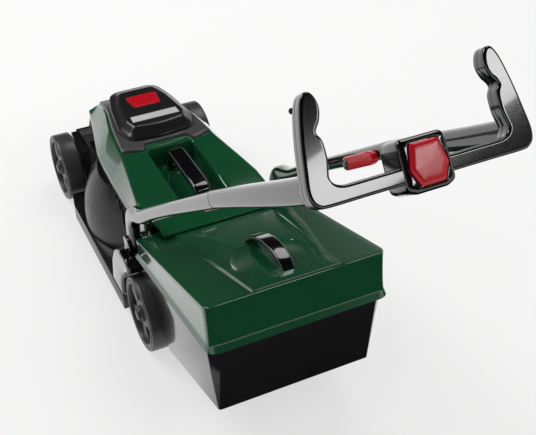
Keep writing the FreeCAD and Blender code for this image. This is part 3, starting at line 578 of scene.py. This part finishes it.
hoodSizes = {"foot": 136, "trenchHalf": 34, "trenchRear": 47,
             "trenchFront": 190, "trenchFloor": 152, "blend": 5, "wall": 2.6}
hoodStations = [(36, 92.4, 174, 94.4, 150), (50, 92.2, 177, 94.4, 150), (81, 91.0, 179, 94.4, 150),
                (120, 84.5, 179.7, 94.4, 150), (190, 72, 180, 94.4, 150), (226, 68.5, 179.3, 93.6, 149),
                (262, 65, 178, 91.4, 148), (300, 58, 175.5, 83.5, 147), (330, 52, 171, 76.4, 146),
                (365, 48.5, 161, 69, 143.5), (394, 46, 150, 63.4, 142)]


def stationAt(y):
    # shoulder half width, top, rim half width and rim height at a place along the hood
    y = max(hoodStations[0][0], min(hoodStations[-1][0], y))
    for a, b in zip(hoodStations, hoodStations[1:]):
        if a[0] <= y <= b[0]:
            t = (y - a[0]) / (b[0] - a[0])
            return [p + (q - p) * t for p, q in zip(a[1:], b[1:])]


def eased(t):
    t = max(0.0, min(1.0, t))
    return t * t * (3 - 2 * t)


def trenchDepth(y):
    h = hoodSizes
    return eased((y - h["trenchRear"]) / h["blend"]) * eased((h["trenchFront"] - y) / h["blend"])


def hoodColumns(y):
    # right half of the section from the middle of the trench to the foot of the side wall
    h = hoodSizes
    shoulder, top, rimHalf, rim = stationAt(y)
    floor = top + (h["trenchFloor"] - top) * trenchDepth(y)
    half = h["trenchHalf"]
    columns = [(0, floor), (half - 8, floor), (half - 3.5, floor),
               (half - 1.6, floor + (top - floor) * 0.05),
               (half - 0.8, floor + (top - floor) * 0.2), (half, floor + (top - floor) * 0.8),
               (half + 0.7, floor + (top - floor) * 0.95), (half + 2.4, top), (half + 8, top)]
    round_ = 5
    slope = Vector((rimHalf - shoulder, rim - top)).normalized()
    columns.append((shoulder - round_ * 1.3, top))
    for step in range(6):
        t = step / 5
        start = Vector((shoulder - round_, top))
        tip = Vector((shoulder, top))
        end = tip + slope * round_
        p = start * (1 - t) ** 2 + tip * 2 * t * (1 - t) + end * t * t
        columns.append((p.x, p.y))
    columns += [(rimHalf - slope.x * 3, rim - slope.y * 3), (rimHalf - 0.5, rim - 0.2), (rimHalf, rim - 1.2),
                (rimHalf, h["foot"] + 1), (rimHalf - 0.6, h["foot"])]
    return columns


def sheetAcross(name, levels, columnsAt, wall, material, sharpAngle=38):
    # a skin laid over both halves of a section at each level along Y, given a wall
    rows = []
    for y in levels:
        right = columnsAt(y)
        full = [(-x, z) for x, z in reversed(right[1:])] + right
        rows.append([Vector((x, rearAxle.y + y, z)) for x, z in full])
    points, faces = ringMesh(rows, False, False)
    piece = meshPiece(name, points, faces, material)
    up = sum((p.normal.z * p.area for p in piece.data.polygons))
    if up < 0:
        piece.data.flip_normals()
    walled(piece, wall)
    smoothed(piece.data, sharpAngle)
    return piece


def hoodPieces():
    h = hoodSizes
    levels = sorted(set([36, 36.6, 38, 42, 60, 81, 100, 120, 155, 208, 226, 244, 262, 285, 308, 330, 348,
                         365, 380, 393, 394]
                        + [h["trenchRear"] + h["blend"] * i / 6 for i in range(-1, 8)]
                        + [h["trenchFront"] - h["blend"] * i / 6 for i in range(-1, 8)]))
    hood = sheetAcross("hood_shell_look", levels, hoodColumns, h["wall"], glossGreen)
    settle(hood, "chassis", "green_moulding", "hood_shell")


coverSizes = {"rear": 200, "middleRear": 207, "scallopHalf": 41, "lobe": 11, "rise": 4, "edge": 2.5,
              "wall": 2.6}


def coverPiece():
    # satin cover on the front of the hood; its rear edge curves round the carry handle's recess
    c = coverSizes
    across = [-1, -0.995, -0.97, -0.9, -0.82, -0.74, -0.66, -0.6, -0.57, -0.545, -0.52, -0.495, -0.47,
              -0.44, -0.35, -0.2, 0]
    across = across + [-a for a in reversed(across[:-1])]
    rows = []
    levels = [0, 0.004, 0.012, 0.03, 0.08, 0.15, 0.25, 0.36, 0.5, 0.64, 0.78, 0.86, 0.92, 0.96, 1]
    for level in levels:
        row = []
        for a in across:
            x0 = a * 72
            notch = eased((c["scallopHalf"] - abs(x0)) / 9)
            lobe = c["rear"] - c["lobe"] * max(0.0, (70 - abs(x0)) / 34)
            start = lobe + (c["middleRear"] - lobe) * notch
            y = start + (393.5 - start) * level
            shoulder, top, rimHalf, rim = stationAt(y)
            half = shoulder - 1.4
            x = a * half
            edge = min(abs(half - abs(x)) / c["edge"], (y - start) / c["edge"] + 0.02)
            rise = c["rise"] * math.sqrt(max(0.0, 1 - (1 - min(1, edge)) ** 2))
            row.append(Vector((x, rearAxle.y + y, top + rise)))
        rows.append(row)
    points, faces = ringMesh(rows, False, False)
    piece = meshPiece("motor_cover_base_look", points, faces, satinGrey)
    if sum(p.normal.z * p.area for p in piece.data.polygons) < 0:
        piece.data.flip_normals()
    walled(piece, c["wall"])
    smoothed(piece.data, 38)
    settle(piece, "chassis", "grey_cover", "motor_cover_base")


capSizes = {"rear": 214, "front": 356, "half": 58, "frontHalf": 44, "flare": 50, "topInset": 13,
            "setBack": 7}


def capPieces():
    # rounded cap: a dark joint round its foot, a flared skirt, slanted sides and a flat top
    c = capSizes
    y0, y1 = rearAxle.y + c["rear"], rearAxle.y + c["front"]
    outline = roundedOutline([(-c["half"] + 9, y0 + 3, 20), (0, y0 - 4, 90), (c["half"] - 9, y0 + 3, 20),
                              (c["half"], y0 + 36, 34), (c["flare"], y0 + 96, 60),
                              (c["frontHalf"] - 6, y1, 24),
                              (-c["frontHalf"] + 6, y1, 24), (-c["flare"], y0 + 96, 60),
                              (-c["half"], y0 + 36, 34)], 10)
    levels = [(1.8, 172), (1.8, 183.2), (0.8, 183.6), (0, 184.8), (0, 186.4), (0.6, 187.8), (1.9, 188.9)]
    last = c["topInset"]
    levels += [(4, 190.4), (6.6, 192.6), (9.2, 195.2), (11, 197), (last - 0.4, 198.5), (last + 1.4, 199.6),
               (last + 4, 200)]

    def place(u, v, w):
        # the top's front edge stands back and falls away
        ahead = eased((v - y0 - 60) / 80)
        rise = eased((w - 187) / 12)
        return Vector((u, v - c["setBack"] * ahead * rise, w - 3.2 * ahead * rise))
    cap = slab("motor_cap_look", outline, levels, place, capBlack, 60)
    settle(cap, "chassis", "grey_cover", "motor_cap")
    low, high = edgesOf("cap_accent_panel")
    red = roundedOutline([(low.x, low.y, 5), (high.x, low.y, 5), (high.x + 4, high.y - 1, 6),
                          (low.x - 4, high.y - 1, 6)], 6)
    panel = slab("cap_accent_look", red, roundLevels(196, high.z - 0.3, 0, 0.8, 4), place, glossRed)
    settle(panel, "chassis", "red_moulding", "cap_accent_panel")
    low, high = edgesOf("cap_blank_plate")
    strip = roundedOutline([(low.x, low.y + 4, 1.2), (high.x, low.y + 4, 1.2),
                            (high.x - 1, high.y - 1.5, 1.2),
                            (low.x + 1, high.y - 1.5, 1.2)], 4)
    plate = slab("cap_plate_look", strip, roundLevels(198, high.z, 0, 0.25, 3), upright, plateSilver)
    settle(plate, "chassis", "silver_plate", "cap_blank_plate")


def carryHandle():
    low, high = edgesOf("carry_handle")
    wide = (high.x - low.x) / 2
    foot = 4      # the bar's ends reach the recess's front and rear rims
    keys = [(0, low.y + foot, low.z, wide, 4), (0, low.y + foot, low.z + 14, wide, 4),
            (0, low.y + 9, high.z - 9, wide, 5.4),
            (0, low.y + 24, high.z - 6.2, wide, 6), (0, (low.y + high.y) / 2, high.z - 6.1, wide, 6),
            (0, high.y - 24, high.z - 6.2, wide, 6), (0, high.y - 9, high.z - 9, wide, 5.4),
            (0, high.y - foot, low.z + 14, wide, 4), (0, high.y - foot, low.z, wide, 4)]
    settle(swept("carry_handle_look", keys, 8, 4.5, glossBlack), "chassis", "gloss_black_moulding",
           "carry_handle")


hoodPieces()
coverPiece()
capPieces()
carryHandle()
settle(softCopy("rear_flap", glossGreen, 1.0), "flap", "green_moulding", "rear_flap")
print("hood ready")


# ---- grass box ----

boxSizes = {"lidSlopeY": (-229, 21), "lidSlopeZ": (252, 167), "lidHalf": 115, "lipY": (-240, 23),
            "lipZ": (189, 140), "lipHalf": 118, "corner": 17, "wall": 2.6}


def lidTop(y):
    # height of the sloping top at a place along Y, in the frame of the rear axle
    (y0, y1), (z0, z1) = boxSizes["lidSlopeY"], boxSizes["lidSlopeZ"]
    return z0 + (z1 - z0) * (y - y0) / (y1 - y0)


def lipHeight(y):
    (y0, y1), (z0, z1) = boxSizes["lipY"], boxSizes["lipZ"]
    return z0 + (z1 - z0) * (y - y0) / (y1 - y0)


def lidPiece():
    b = boxSizes

    def plan(half, rear, front, corner):
        return roundedOutline([(-half, rear, corner), (half, rear, corner), (half, front, corner * 0.6),
                               (-half, front, corner * 0.6)], 12)
    lip = plan(b["lipHalf"], *b["lipY"], b["corner"])
    top = plan(b["lidHalf"], *b["lidSlopeY"], b["corner"] - 2)
    rings = []
    skirt = [(0.8, 0), (0.2, 0.004), (0, 0.014), (0.8, 0.06), (1.8, 0.11), (2.5, 0.145), (2.8, 0.165),
             (2.8, 0.2),
             (2.5, 0.4), (1.8, 0.6), (0.9, 0.8), (0, 0.97)]
    for tuck, t in skirt:
        ring = []
        for p, q in zip(inset(lip, tuck), inset(top, tuck)):
            low = Vector((p.x, p.y, lipHeight(p.y)))
            high = Vector((q.x, q.y, lidTop(q.y)))
            ring.append(low.lerp(high, t))
        rings.append(ring)
    for step in range(1, 6):
        turn = math.pi / 2 * step / 5
        tuck = 1.7 * (1 - math.cos(turn))
        fall = 1.7 * (1 - math.sin(turn))
        rings.append([Vector((q.x, q.y, lidTop(q.y) - fall)) for q in inset(top, tuck)])
    rings.append([Vector((q.x, q.y, lidTop(q.y))) for q in inset(top, 9)])
    rows = [[p + Vector((0, rearAxle.y, 0)) for p in ring] for ring in rings]
    points, faces = ringMesh(rows, True, False)
    faces.append(tuple(range((len(rows) - 1) * len(rows[0]), len(rows) * len(rows[0]))))
    lid = meshPiece("grass_box_lid_look", points, faces, glossGreen, 40)
    if sum(p.normal.z * p.area for p in lid.data.polygons) < 0:
        lid.data.flip_normals()
    walled(lid, b["wall"])
    smoothed(lid.data, 40)
    panelPiece(lid)


def byAngle(outline, centre, count):
    # the outline met by evenly turned rays from its middle
    ring = []
    for step in range(count):
        turn = 2 * math.pi * step / count
        ray = Vector((math.cos(turn), math.sin(turn)))
        best = None
        for a, b in zip(outline, outline[1:] + outline[:1]):
            edge = b - a
            cross = ray.x * edge.y - ray.y * edge.x
            if abs(cross) < 1e-9:
                continue
            rel = a - centre
            t = (rel.x * edge.y - rel.y * edge.x) / cross
            s = (rel.x * ray.y - rel.y * ray.x) / cross
            if t > 0 and -1e-6 <= s <= 1 + 1e-6 and (best is None or t > best):
                best = t
        ring.append(centre + ray * best)
    return ring


panelSizes = {"rear": 57, "front": 74, "long": (-226, 14), "rise": 3.2, "facet": (1.2, 5),
              "scoop": (50, 56), "scoopY": -158,
              "scoopDeep": 1.8, "rays": 180}


def panelPiece(lid):
    # raised panel between two slanted facets, with a finger scoop that is sharp in front of the strap handle
    s = panelSizes
    (rear, front), (thin, wide) = s["long"], s["facet"]
    outline = roundedOutline([(-s["rear"], rear, 1.5), (s["rear"], rear, 1.5), (s["front"], front, 1.5),
                              (-s["front"], front, 1.5)], 4)
    top = roundedOutline([(-s["rear"] + thin, rear + 0.9, 1.5), (s["rear"] - thin, rear + 0.9, 1.5),
                          (s["front"] - wide, front - 1, 1.5), (-s["front"] + wide, front - 1, 1.5)], 4)
    centre = Vector((0, s["scoopY"]))
    rays = s["rays"]
    low, high = byAngle(outline, centre, rays), byAngle(top, centre, rays)

    def lifted(ring, rise):
        return [Vector((p.x, rearAxle.y + p.y, lidTop(p.y) + rise)) for p in ring]
    rings = [lifted(low, -1), lifted(low, 0.05), lifted([p.lerp(q, 0.92) for p, q in zip(low, high)],
                                                        s["rise"] * 0.93),
             lifted(high, s["rise"]), lifted([q + (centre - q).normalized() * 1.2 for q in high],
                                             s["rise"] + 0.08)]
    across, along = s["scoop"]
    for scale, share in ((1.0, 0), (0.985, 0.45), (0.95, 0.8), (0.85, 1), (0.65, 1), (0.4, 1), (0.15, 1)):
        ring = []
        for step in range(rays):
            turn = 2 * math.pi * step / rays
            p = centre + Vector((across * math.cos(turn), along * math.sin(turn))) * scale
            sharp = eased((p.y - centre.y + along * 0.35) / (along * 0.9))
            sink = s["scoopDeep"] * share * sharp * (1 - 0.55 * (1 - scale) * share)
            ring.append(Vector((p.x, rearAxle.y + p.y, lidTop(p.y) + s["rise"] + 0.08 - sink)))
        rings.append(ring)
    points, faces = ringMesh(rings, True, False)
    faces.append(tuple(range((len(rings) - 1) * rays, len(rings) * rays)))
    panel = meshPiece("lid_panel", points, faces, glossGreen, 20)
    whole = joined("grass_box_lid_look", [lid, panel])
    smoothed(whole.data, 22)
    settle(whole, "grass_box", "green_moulding", "grass_box_lid")


tubSizes = {"corner": 9, "edge": 1.2, "cornerSide": 100, "rear": 215, "drawIn": 12, "shortest": 30}


def roundTub(work):
    # upright corners get a large radius; the rear face leans, so its lower corners are drawn in to make room
    s = tubSizes
    rear = (rearAxle.y - s["rear"]) * 0.001
    rim = min(v.co.z for v in work.verts if v.co.y < rear + 0.005)
    for v in work.verts:
        if v.co.y < rear and v.co.z < rim + 0.004 and abs(v.co.x) > s["cornerSide"] * 0.001:
            v.co.x -= math.copysign(s["drawIn"] * 0.001, v.co.x)
    corners = []
    for e in work.edges:
        if not e.is_manifold or len(e.link_faces) != 2 or e.calc_face_angle() <= math.radians(20):
            continue
        along = (e.verts[0].co - e.verts[1].co).normalized()
        if abs(along.z) > 0.8 and e.calc_length() > s["shortest"] * 0.001 and abs(e.verts[0].co.x) > 0.09:
            corners.append(e)
    bmesh.ops.bevel(work, geom=corners, offset=s["corner"] * 0.001, segments=8, profile=0.5, affect="EDGES",
                    clamp_overlap=True)


def tubPiece():
    tub = softCopy("grass_box_tub", tubBlack, tubSizes["edge"], 35, roundTub)
    settle(tub, "grass_box", "black_moulding", "grass_box_tub")


def strapPiece():
    low, high = edgesOf("lid_handle_strap")
    wide = (high.x - low.x) / 2
    rear, front = low.y - rearAxle.y, high.y - rearAxle.y
    keys = []
    for step in range(11):
        t = step / 10
        y = rear + 4 + (front - rear - 8) * t
        bow = math.sin(math.pi * t) ** 0.7 if 0 < t < 1 else 0
        keys.append((0, rearAxle.y + y, lidTop(y) + 2.6 + 22 * bow, wide * (0.86 + 0.14 * bow), 2.7))
    settle(swept("lid_handle_look", keys, 5, 2.2, glossBlack), "grass_box", "gloss_black_moulding",
           "lid_handle_strap")


lidPiece()
tubPiece()
strapPiece()
print("grass box ready")


# ---- handle ----

handleSizes = {"armSide": 107, "slope": 38.3, "originY": -195, "originZ": 373, "seam": 46, "rear": 293,
               "thick": 20}
tilt = math.radians(90 - handleSizes["slope"])
upHandle = Vector((0, math.cos(tilt), math.sin(tilt)))      # across the arms, up and forward
backHandle = Vector((0, -math.sin(tilt), math.cos(tilt)))   # along the arms, to the operator


def onHandle(u, v, w):
    return Vector((u, handleSizes["originY"], handleSizes["originZ"])) + upHandle * v + backHandle * w


def armKey(x, lift, along, wide, tall):
    p = onHandle(x, lift, along)
    return (p.x, p.y, p.z, wide, tall)


def armPieces(side, word):
    h = handleSizes
    pivot = middleOf("pivot_pin_" + word)
    x = side * h["armSide"]
    seam = h["seam"]
    keys = [(x, pivot.y, pivot.z - 12.9, 5.5, 3.5), (x, pivot.y, pivot.z - 11.6, 7.2, 7),
            (x, pivot.y, pivot.z - 8, 7.9, 10.6),
            (x, pivot.y, pivot.z, 8, 12.4), (x, pivot.y, pivot.z + 14, 8, 12),
            (x, pivot.y - 0.5, pivot.z + 30, 8.2, 11.6),
            (x, pivot.y - 4, pivot.z + 46, 8.6, 11.4), (x, pivot.y - 17, pivot.z + 63, 9, 10.8),
            armKey(side * 106.4, 4, -258, 9, 9.6), armKey(side * 105.2, 5, -200, 9, 8.6),
            armKey(side * 103.3, 5, -120, 9, 8.5),
            armKey(side * 101.3, 4, -40, 9, 9), armKey(side * 99.8, 3, seam - 4.6, 9, 9.6),
            armKey(side * 99.7, 3, seam - 2.2, 8.8, 9.4), armKey(side * 99.6, 3, seam - 1.4, 7, 7.6),
            armKey(side * 99.55, 3, seam, 6.8, 7.4)]
    lower = swept("lower_arm_%s_look" % word, keys, 6, 7.5, glossBlack)
    settle(lower, "handle", "gloss_black_moulding", "lower_arm_" + word)
    keys = [armKey(side * 99.5, 3, seam + 0.3, 6.8, 7.4), armKey(side * 99.5, 3, seam + 1.4, 7, 7.6),
            armKey(side * 99.45, 3, seam + 2.2, 8.8, 9.4), armKey(side * 99.4, 3, seam + 4.6, 9, 9.6),
            armKey(side * 97.6, -1, 130, 9, 10.6), armKey(side * 95.4, -6, 220, 9, 11.6),
            armKey(side * 94, -8, 273, 9, 12)]
    upper = swept("upper_arm_%s_look" % word, keys, 8, 7.5, glossBlack)
    settle(upper, "handle", "gloss_black_moulding", "upper_arm_" + word)


gripSizes = {"tip": 67, "low": -25, "barHigh": -11, "round": 2.6}


def gripPieces(side, word):
    # half of the crossbar and one horn, moulded as a front and a rear shell
    h, g = handleSizes, gripSizes
    tip = g["tip"]
    corners = [(18.6, g["low"]), (18.6, g["low"]), (60, g["low"]), (90, g["low"]), (98, g["low"] + 1.6),
               (103.2, g["low"] + 7),
               (104.6, -8), (102.2, tip - 58), (99.6, tip - 42), (96.2, tip - 26), (92.4, tip - 12),
               (88.4, tip - 4),
               (84.4, tip - 1.4), (80, tip - 3), (76.8, tip - 9), (76, tip - 17), (78.8, tip - 25.5),
               (82.8, tip - 31),
               (83.8, tip - 34.5), (81.4, tip - 38.5), (80.2, tip - 44), (80.4, tip - 56), (82.6, tip - 66),
               (83.2, tip - 70.5),
               (80.4, tip - 75), (75, g["barHigh"] + 0.6), (68, g["barHigh"]), (50, g["barHigh"]),
               (18.6, g["barHigh"]),
               (18.6, g["barHigh"])]
    outline = splineOutline([(side * u, v) for u, v in corners], 5)
    middle = h["rear"] - h["thick"] / 2
    front = slab("grip_%s_front_look" % word, outline,
                 roundLevels(h["rear"] - h["thick"], middle - 0.1, 5, 0.3, 6),
                 onHandle, glossBlack, 45)
    face = [(g["round"] + 0.4, h["rear"])]    # keeps the flat face flat right up to its rounded rim
    rear = slab("grip_%s_rear_look" % word, outline,
                roundLevels(middle + 0.1, h["rear"], 0.3, g["round"], 6) + face,
                onHandle, glossBlack, 45)
    settle(front, "handle", "gloss_black_moulding", "grip_%s_front_shell" % word)
    settle(rear, "handle", "gloss_black_moulding", "grip_%s_rear_shell" % word)


buttonSizes = {"reach": 17.6, "proud": 4, "centre": -12, "boxHalf": 23.4, "low": -35, "high": 11,
               "front": 262, "rear": 296}


def hexagon(reach, radius):
    c = buttonSizes["centre"]
    return roundedOutline([(reach, c - reach * 0.2, radius), (reach * 0.72, c + reach, radius),
                           (-reach * 0.72, c + reach, radius), (-reach, c - reach * 0.2, radius),
                           (-reach * 0.62, c - reach, radius), (reach * 0.62, c - reach, radius)], 6)


def switchPieces():
    b = buttonSizes
    half, low, high = b["boxHalf"], b["low"], b["high"]
    outline = roundedOutline([(-half, low + 4, 7), (-half + 9, low, 8), (half - 9, low, 8),
                              (half, low + 4, 7),
                              (half - 1, high, 7), (-half + 1, high, 7)], 8)
    centre = Vector((0, b["centre"]))
    count = 120
    rings = []
    for depth, height in roundLevels(b["front"] + 3.2, b["rear"] - 0.4, 0.5, 5, 6):
        rings.append([onHandle(p.x, p.y, height) for p in byAngle(inset(outline, depth), centre, count)])
    for reach, height in ((b["reach"] + 2.2, b["rear"]), (b["reach"] + 1.0, b["rear"] - 0.2),
                          (b["reach"] + 0.4, b["rear"] - 1),
                          (b["reach"] + 0.4, b["rear"] - 7)):
        ring = byAngle(hexagon(reach, 3), centre, count)
        rings.append([onHandle(p.x, p.y, height) for p in ring])
    box = meshPiece("switch_box_look", *ringMesh(rings), glossBlack, 45)
    settle(box, "handle", "gloss_black_moulding", "switch_box")
    back = slab("switch_box_cover_look", outline, roundLevels(b["front"], b["front"] + 2.9, 2, 0.3, 4),
                onHandle, glossBlack)
    settle(back, "handle", "gloss_black_moulding", "switch_box_cover")
    top = b["rear"] + b["proud"]
    levels = [(0, b["rear"] - 10), (0, top - 2.6), (0.1, top - 2.2), (0.4, top - 1.9), (2.5, top - 0.4),
              (3, top - 0.2),
              (3.6, top - 0.1), (7, top - 0.04), (11, top), (15, top)]
    centre = Vector((0, b["centre"]))
    edge = byAngle(hexagon(b["reach"], 2.6), centre, 96)
    rings = [[onHandle(q.x, q.y, height) for q in (centre + (p - centre) * (1 - depth / b["reach"]) for p in edge)]
             for depth, height in levels]
    button = meshPiece("red_button_look", *ringMesh(rings), glossRed, 35)
    settle(button, "button", "red_moulding", "red_button")
    springPiece()


def springPiece():
    # close-wound return spring behind the button
    b = buttonSizes
    wire, radius, turns, count = 0.55, 4.3, 7, 168
    low, high = b["front"] + 3.6, b["rear"] - 14
    rings = []
    for step in range(count + 1):
        turn = 2 * math.pi * turns * step / count
        out = Vector((math.cos(turn), math.sin(turn)))
        w = low + (high - low) * step / count
        ring = []
        for k in range(8):
            a = 2 * math.pi * k / 8
            r = radius + wire * math.cos(a)
            ring.append(onHandle(out.x * r, b["centre"] + out.y * r, w + wire * math.sin(a)))
        rings.append(ring)
    settle(meshPiece("button_spring_look", *ringMesh(rings), zincSteel), "handle", "steel", "button_spring")


leverSizes = {"pivot": -33, "long": 68, "half": 8}


def leverPieces(side, word):
    low, high = edgesOf("clamp_lever_" + word)
    s = leverSizes
    a, e = s["pivot"], s["pivot"] + s["long"]
    outline = roundedOutline([(-s["half"], a - 8, 7), (s["half"], a - 8, 7), (s["half"], e - 14, 12),
                              (s["half"] - 3, e, 5),
                              (-s["half"] + 3, e, 6), (-s["half"], e - 10, 10)], 7)

    def place(u, v, w):
        return onHandle(w, u, v)
    rounds = (2.6, 0.6) if side > 0 else (0.6, 2.6)
    lever = slab("clamp_lever_%s_look" % word, outline, roundLevels(low.x, high.x, *rounds, 4), place,
                 glossRed, 40)
    settle(lever, "lever_" + word, "red_moulding", "clamp_lever_" + word)
    boss = roundedOutline([(-6, a - 6, 6), (6, a - 6, 6), (6, a + 6, 6), (-6, a + 6, 6)], 8)
    ends = (low.x - 1, low.x + 1.5) if side > 0 else (high.x - 1.5, high.x + 1)
    knob = slab("clamp_boss_" + word, boss, roundLevels(*ends, 0.6, 0.6, 3), place, glossBlack, 40)
    settle(knob, "lever_" + word, "gloss_black_moulding")


for word, side in (("left", -1), ("right", 1)):
    armPieces(side, word)
    gripPieces(side, word)
    leverPieces(side, word)
switchPieces()
print("handle ready")


# ---- CAD nodes that stay, with their finish ----

for node, material in (("hood_screws", zincSteel), ("grip_screws", zincSteel), ("click_tongue", satinBlack),
                       ("click_wheel", wheelGrey), ("front_axle", zincSteel), ("rear_axle", zincSteel),
                       ("flap_hinge_rod", zincSteel), ("flap_hinge_ears", satinBlack),
                       ("pivot_pin_left", zincSteel),
                       ("pivot_pin_right", zincSteel), ("clamp_pin_left", zincSteel),
                       ("clamp_pin_right", zincSteel)):
    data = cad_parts[node].data
    data.materials.clear()
    data.materials.append(material)


# ---- floor, light and camera ----

stageSizes = {"reach": 3.0, "grey": "f4f4f3", "lift": 0.6, "light": 0.5, "darkFrom": -0.9, "darkTo": -0.2}


def shownTo(tree):
    # one for rays that look at the set, straight or by reflection, and nothing for the light that falls on things
    ray = addNode(tree, "ShaderNodeLightPath")
    seen = addNode(tree, "ShaderNodeMath", {"operation": "MAXIMUM"},
                   links={0: ray.outputs["Is Camera Ray"], 1: ray.outputs["Is Glossy Ray"]})
    shown = addNode(tree, "ShaderNodeMath", {"operation": "MAXIMUM"},
                    links={0: seen.outputs[0], 1: ray.outputs["Is Transmission Ray"]})
    return ray, shown.outputs[0]


def stage():
    # white paper; its front edge, behind the mower, is dark in reflections
    s = stageSizes
    mesh = bpy.data.meshes.new("floor")
    reach = s["reach"]
    mesh.from_pydata([(-reach, -reach, 0), (reach, -reach, 0), (reach, reach, 0), (-reach, reach, 0)], [],
                     [(0, 1, 2, 3)])
    floor = bpy.data.objects.new("floor", mesh)
    bpy.context.scene.collection.objects.link(floor)
    material = bpy.data.materials.new("white_paper")
    material.use_nodes = True
    tree = material.node_tree
    tree.nodes.clear()
    paper = addNode(tree, "ShaderNodeBsdfDiffuse", values={"Color": linear(s["grey"]), "Roughness": 0.5})
    ray, shown = shownTo(tree)
    place = addNode(tree, "ShaderNodeNewGeometry")
    split = addNode(tree, "ShaderNodeSeparateXYZ", links={"Vector": place.outputs["Position"]})
    near = addNode(tree, "ShaderNodeMapRange", values={"From Min": s["darkTo"],
                                                       "From Max": s["darkTo"] + 0.12},
                   links={"Value": split.outputs["Y"]})
    far = addNode(tree, "ShaderNodeMapRange", values={"From Min": s["darkFrom"],
                                                      "From Max": s["darkFrom"] - 0.2},
                  links={"Value": split.outputs["Y"]})
    pale = addNode(tree, "ShaderNodeMath", {"operation": "MAXIMUM"},
                   links={0: near.outputs[0], 1: far.outputs[0]})
    direct = addNode(tree, "ShaderNodeMath", {"operation": "MAXIMUM"},
                     links={0: pale.outputs[0], 1: ray.outputs["Is Camera Ray"]})
    glow = addNode(tree, "ShaderNodeEmission", values={"Strength": 1}, links={"Color": direct.outputs[0]})
    share = addNode(tree, "ShaderNodeMapRange", values={"To Min": 1.0, "To Max": s["lift"]},
                    links={"Value": direct.outputs[0]})
    lift = addNode(tree, "ShaderNodeMath", {"operation": "MULTIPLY"}, links={0: share.outputs[0], 1: shown})
    mix = addNode(tree, "ShaderNodeMixShader", links={"Fac": lift.outputs[0], 1: paper.outputs[0],
                                                      2: glow.outputs[0]})
    addNode(tree, "ShaderNodeOutputMaterial", links={"Surface": mix.outputs[0]})
    mesh.materials.append(material)


def daylight():
    # white all round to the eye; in reflections white low down at the sides and dark elsewhere overhead
    world = bpy.data.worlds.new("studio")
    bpy.context.scene.world = world
    world.use_nodes = True
    tree = world.node_tree
    tree.nodes.clear()
    place = addNode(tree, "ShaderNodeTexCoord")
    split = addNode(tree, "ShaderNodeSeparateXYZ", links={"Vector": place.outputs["Generated"]})
    low = addNode(tree, "ShaderNodeMapRange", values={"From Min": 0.35, "From Max": 0.0, "To Min": 0.05,
                                                      "To Max": 1.0},
                  links={"Value": split.outputs["Z"]})
    flank = addNode(tree, "ShaderNodeMath", {"operation": "ABSOLUTE"}, links={0: split.outputs["X"]})
    sides = addNode(tree, "ShaderNodeMapRange", values={"From Min": 0.35, "From Max": 0.75, "To Min": 0.03,
                                                        "To Max": 1.0},
                    links={"Value": flank.outputs[0]})
    wash = addNode(tree, "ShaderNodeMath", {"operation": "MULTIPLY"},
                   links={0: low.outputs[0], 1: sides.outputs[0]})
    below = addNode(tree, "ShaderNodeMath", {"operation": "LESS_THAN"}, values={1: -0.01},
                    links={0: split.outputs["Z"]})
    ray, shown = shownTo(tree)
    seen = addNode(tree, "ShaderNodeMath", {"operation": "MAXIMUM"},
                   links={0: ray.outputs["Is Camera Ray"], 1: ray.outputs["Is Transmission Ray"]})
    paper = addNode(tree, "ShaderNodeMath", {"operation": "MAXIMUM"},
                    links={0: wash.outputs[0], 1: below.outputs[0]})
    picture = addNode(tree, "ShaderNodeMath", {"operation": "MAXIMUM"},
                      links={0: paper.outputs[0], 1: seen.outputs[0]})
    soft = addNode(tree, "ShaderNodeBackground", values={"Color": (1, 1, 1, 1),
                                                         "Strength": stageSizes["light"]})
    white = addNode(tree, "ShaderNodeBackground", values={"Strength": 1},
                    links={"Color": picture.outputs[0]})
    mix = addNode(tree, "ShaderNodeMixShader", links={"Fac": shown, 1: soft.outputs[0], 2: white.outputs[0]})
    addNode(tree, "ShaderNodeOutputWorld", links={"Surface": mix.outputs[0]})


def softbox(name, place, target, size, watts):
    light = bpy.data.lights.new(name, "AREA")
    light.energy = watts
    light.shape = "RECTANGLE"
    light.size, light.size_y = size
    lamp = bpy.data.objects.new(name, light)
    lamp.location = place
    lamp.rotation_euler = (Vector(target) - Vector(place)).to_track_quat("-Z", "Y").to_euler()
    bpy.context.scene.collection.objects.link(lamp)


cameraSizes = {"place": (-0.3918, -0.9677, 0.9993), "azimuth": -25.28, "down": 52.00, "roll": -0.33,
               "lens": 67.17}


def camera():
    # the operator's left, behind and above; down is measured from straight below
    c = cameraSizes
    view = bpy.data.cameras.new("view")
    view.lens = c["lens"]
    view.sensor_width = 36
    eye = bpy.data.objects.new("view", view)
    turn = Matrix.Rotation(math.radians(c["azimuth"]), 4, "Z") @ Matrix.Rotation(math.radians(c["down"]), 4,
                                                                                 "X")
    eye.matrix_world = Matrix.Translation(c["place"]) @ turn @ Matrix.Rotation(math.radians(c["roll"]), 4,
                                                                               "Z")
    bpy.context.scene.collection.objects.link(eye)
    bpy.context.scene.camera = eye


stage()
daylight()
softbox("key", (-1.2, 1.4, 2.0), (0, 0, 0.1), (1.4, 1.0), 26)
softbox("top", (0.9, 0.9, 2.2), (0, 0, 0.1), (1.2, 1.2), 14)
softbox("strip", (0.7, -1.44, 1.38), (0, -0.42, 0.54), (0.8, 0.16), 3.5)
camera()
bpy.context.scene.view_settings.view_transform = "Standard"
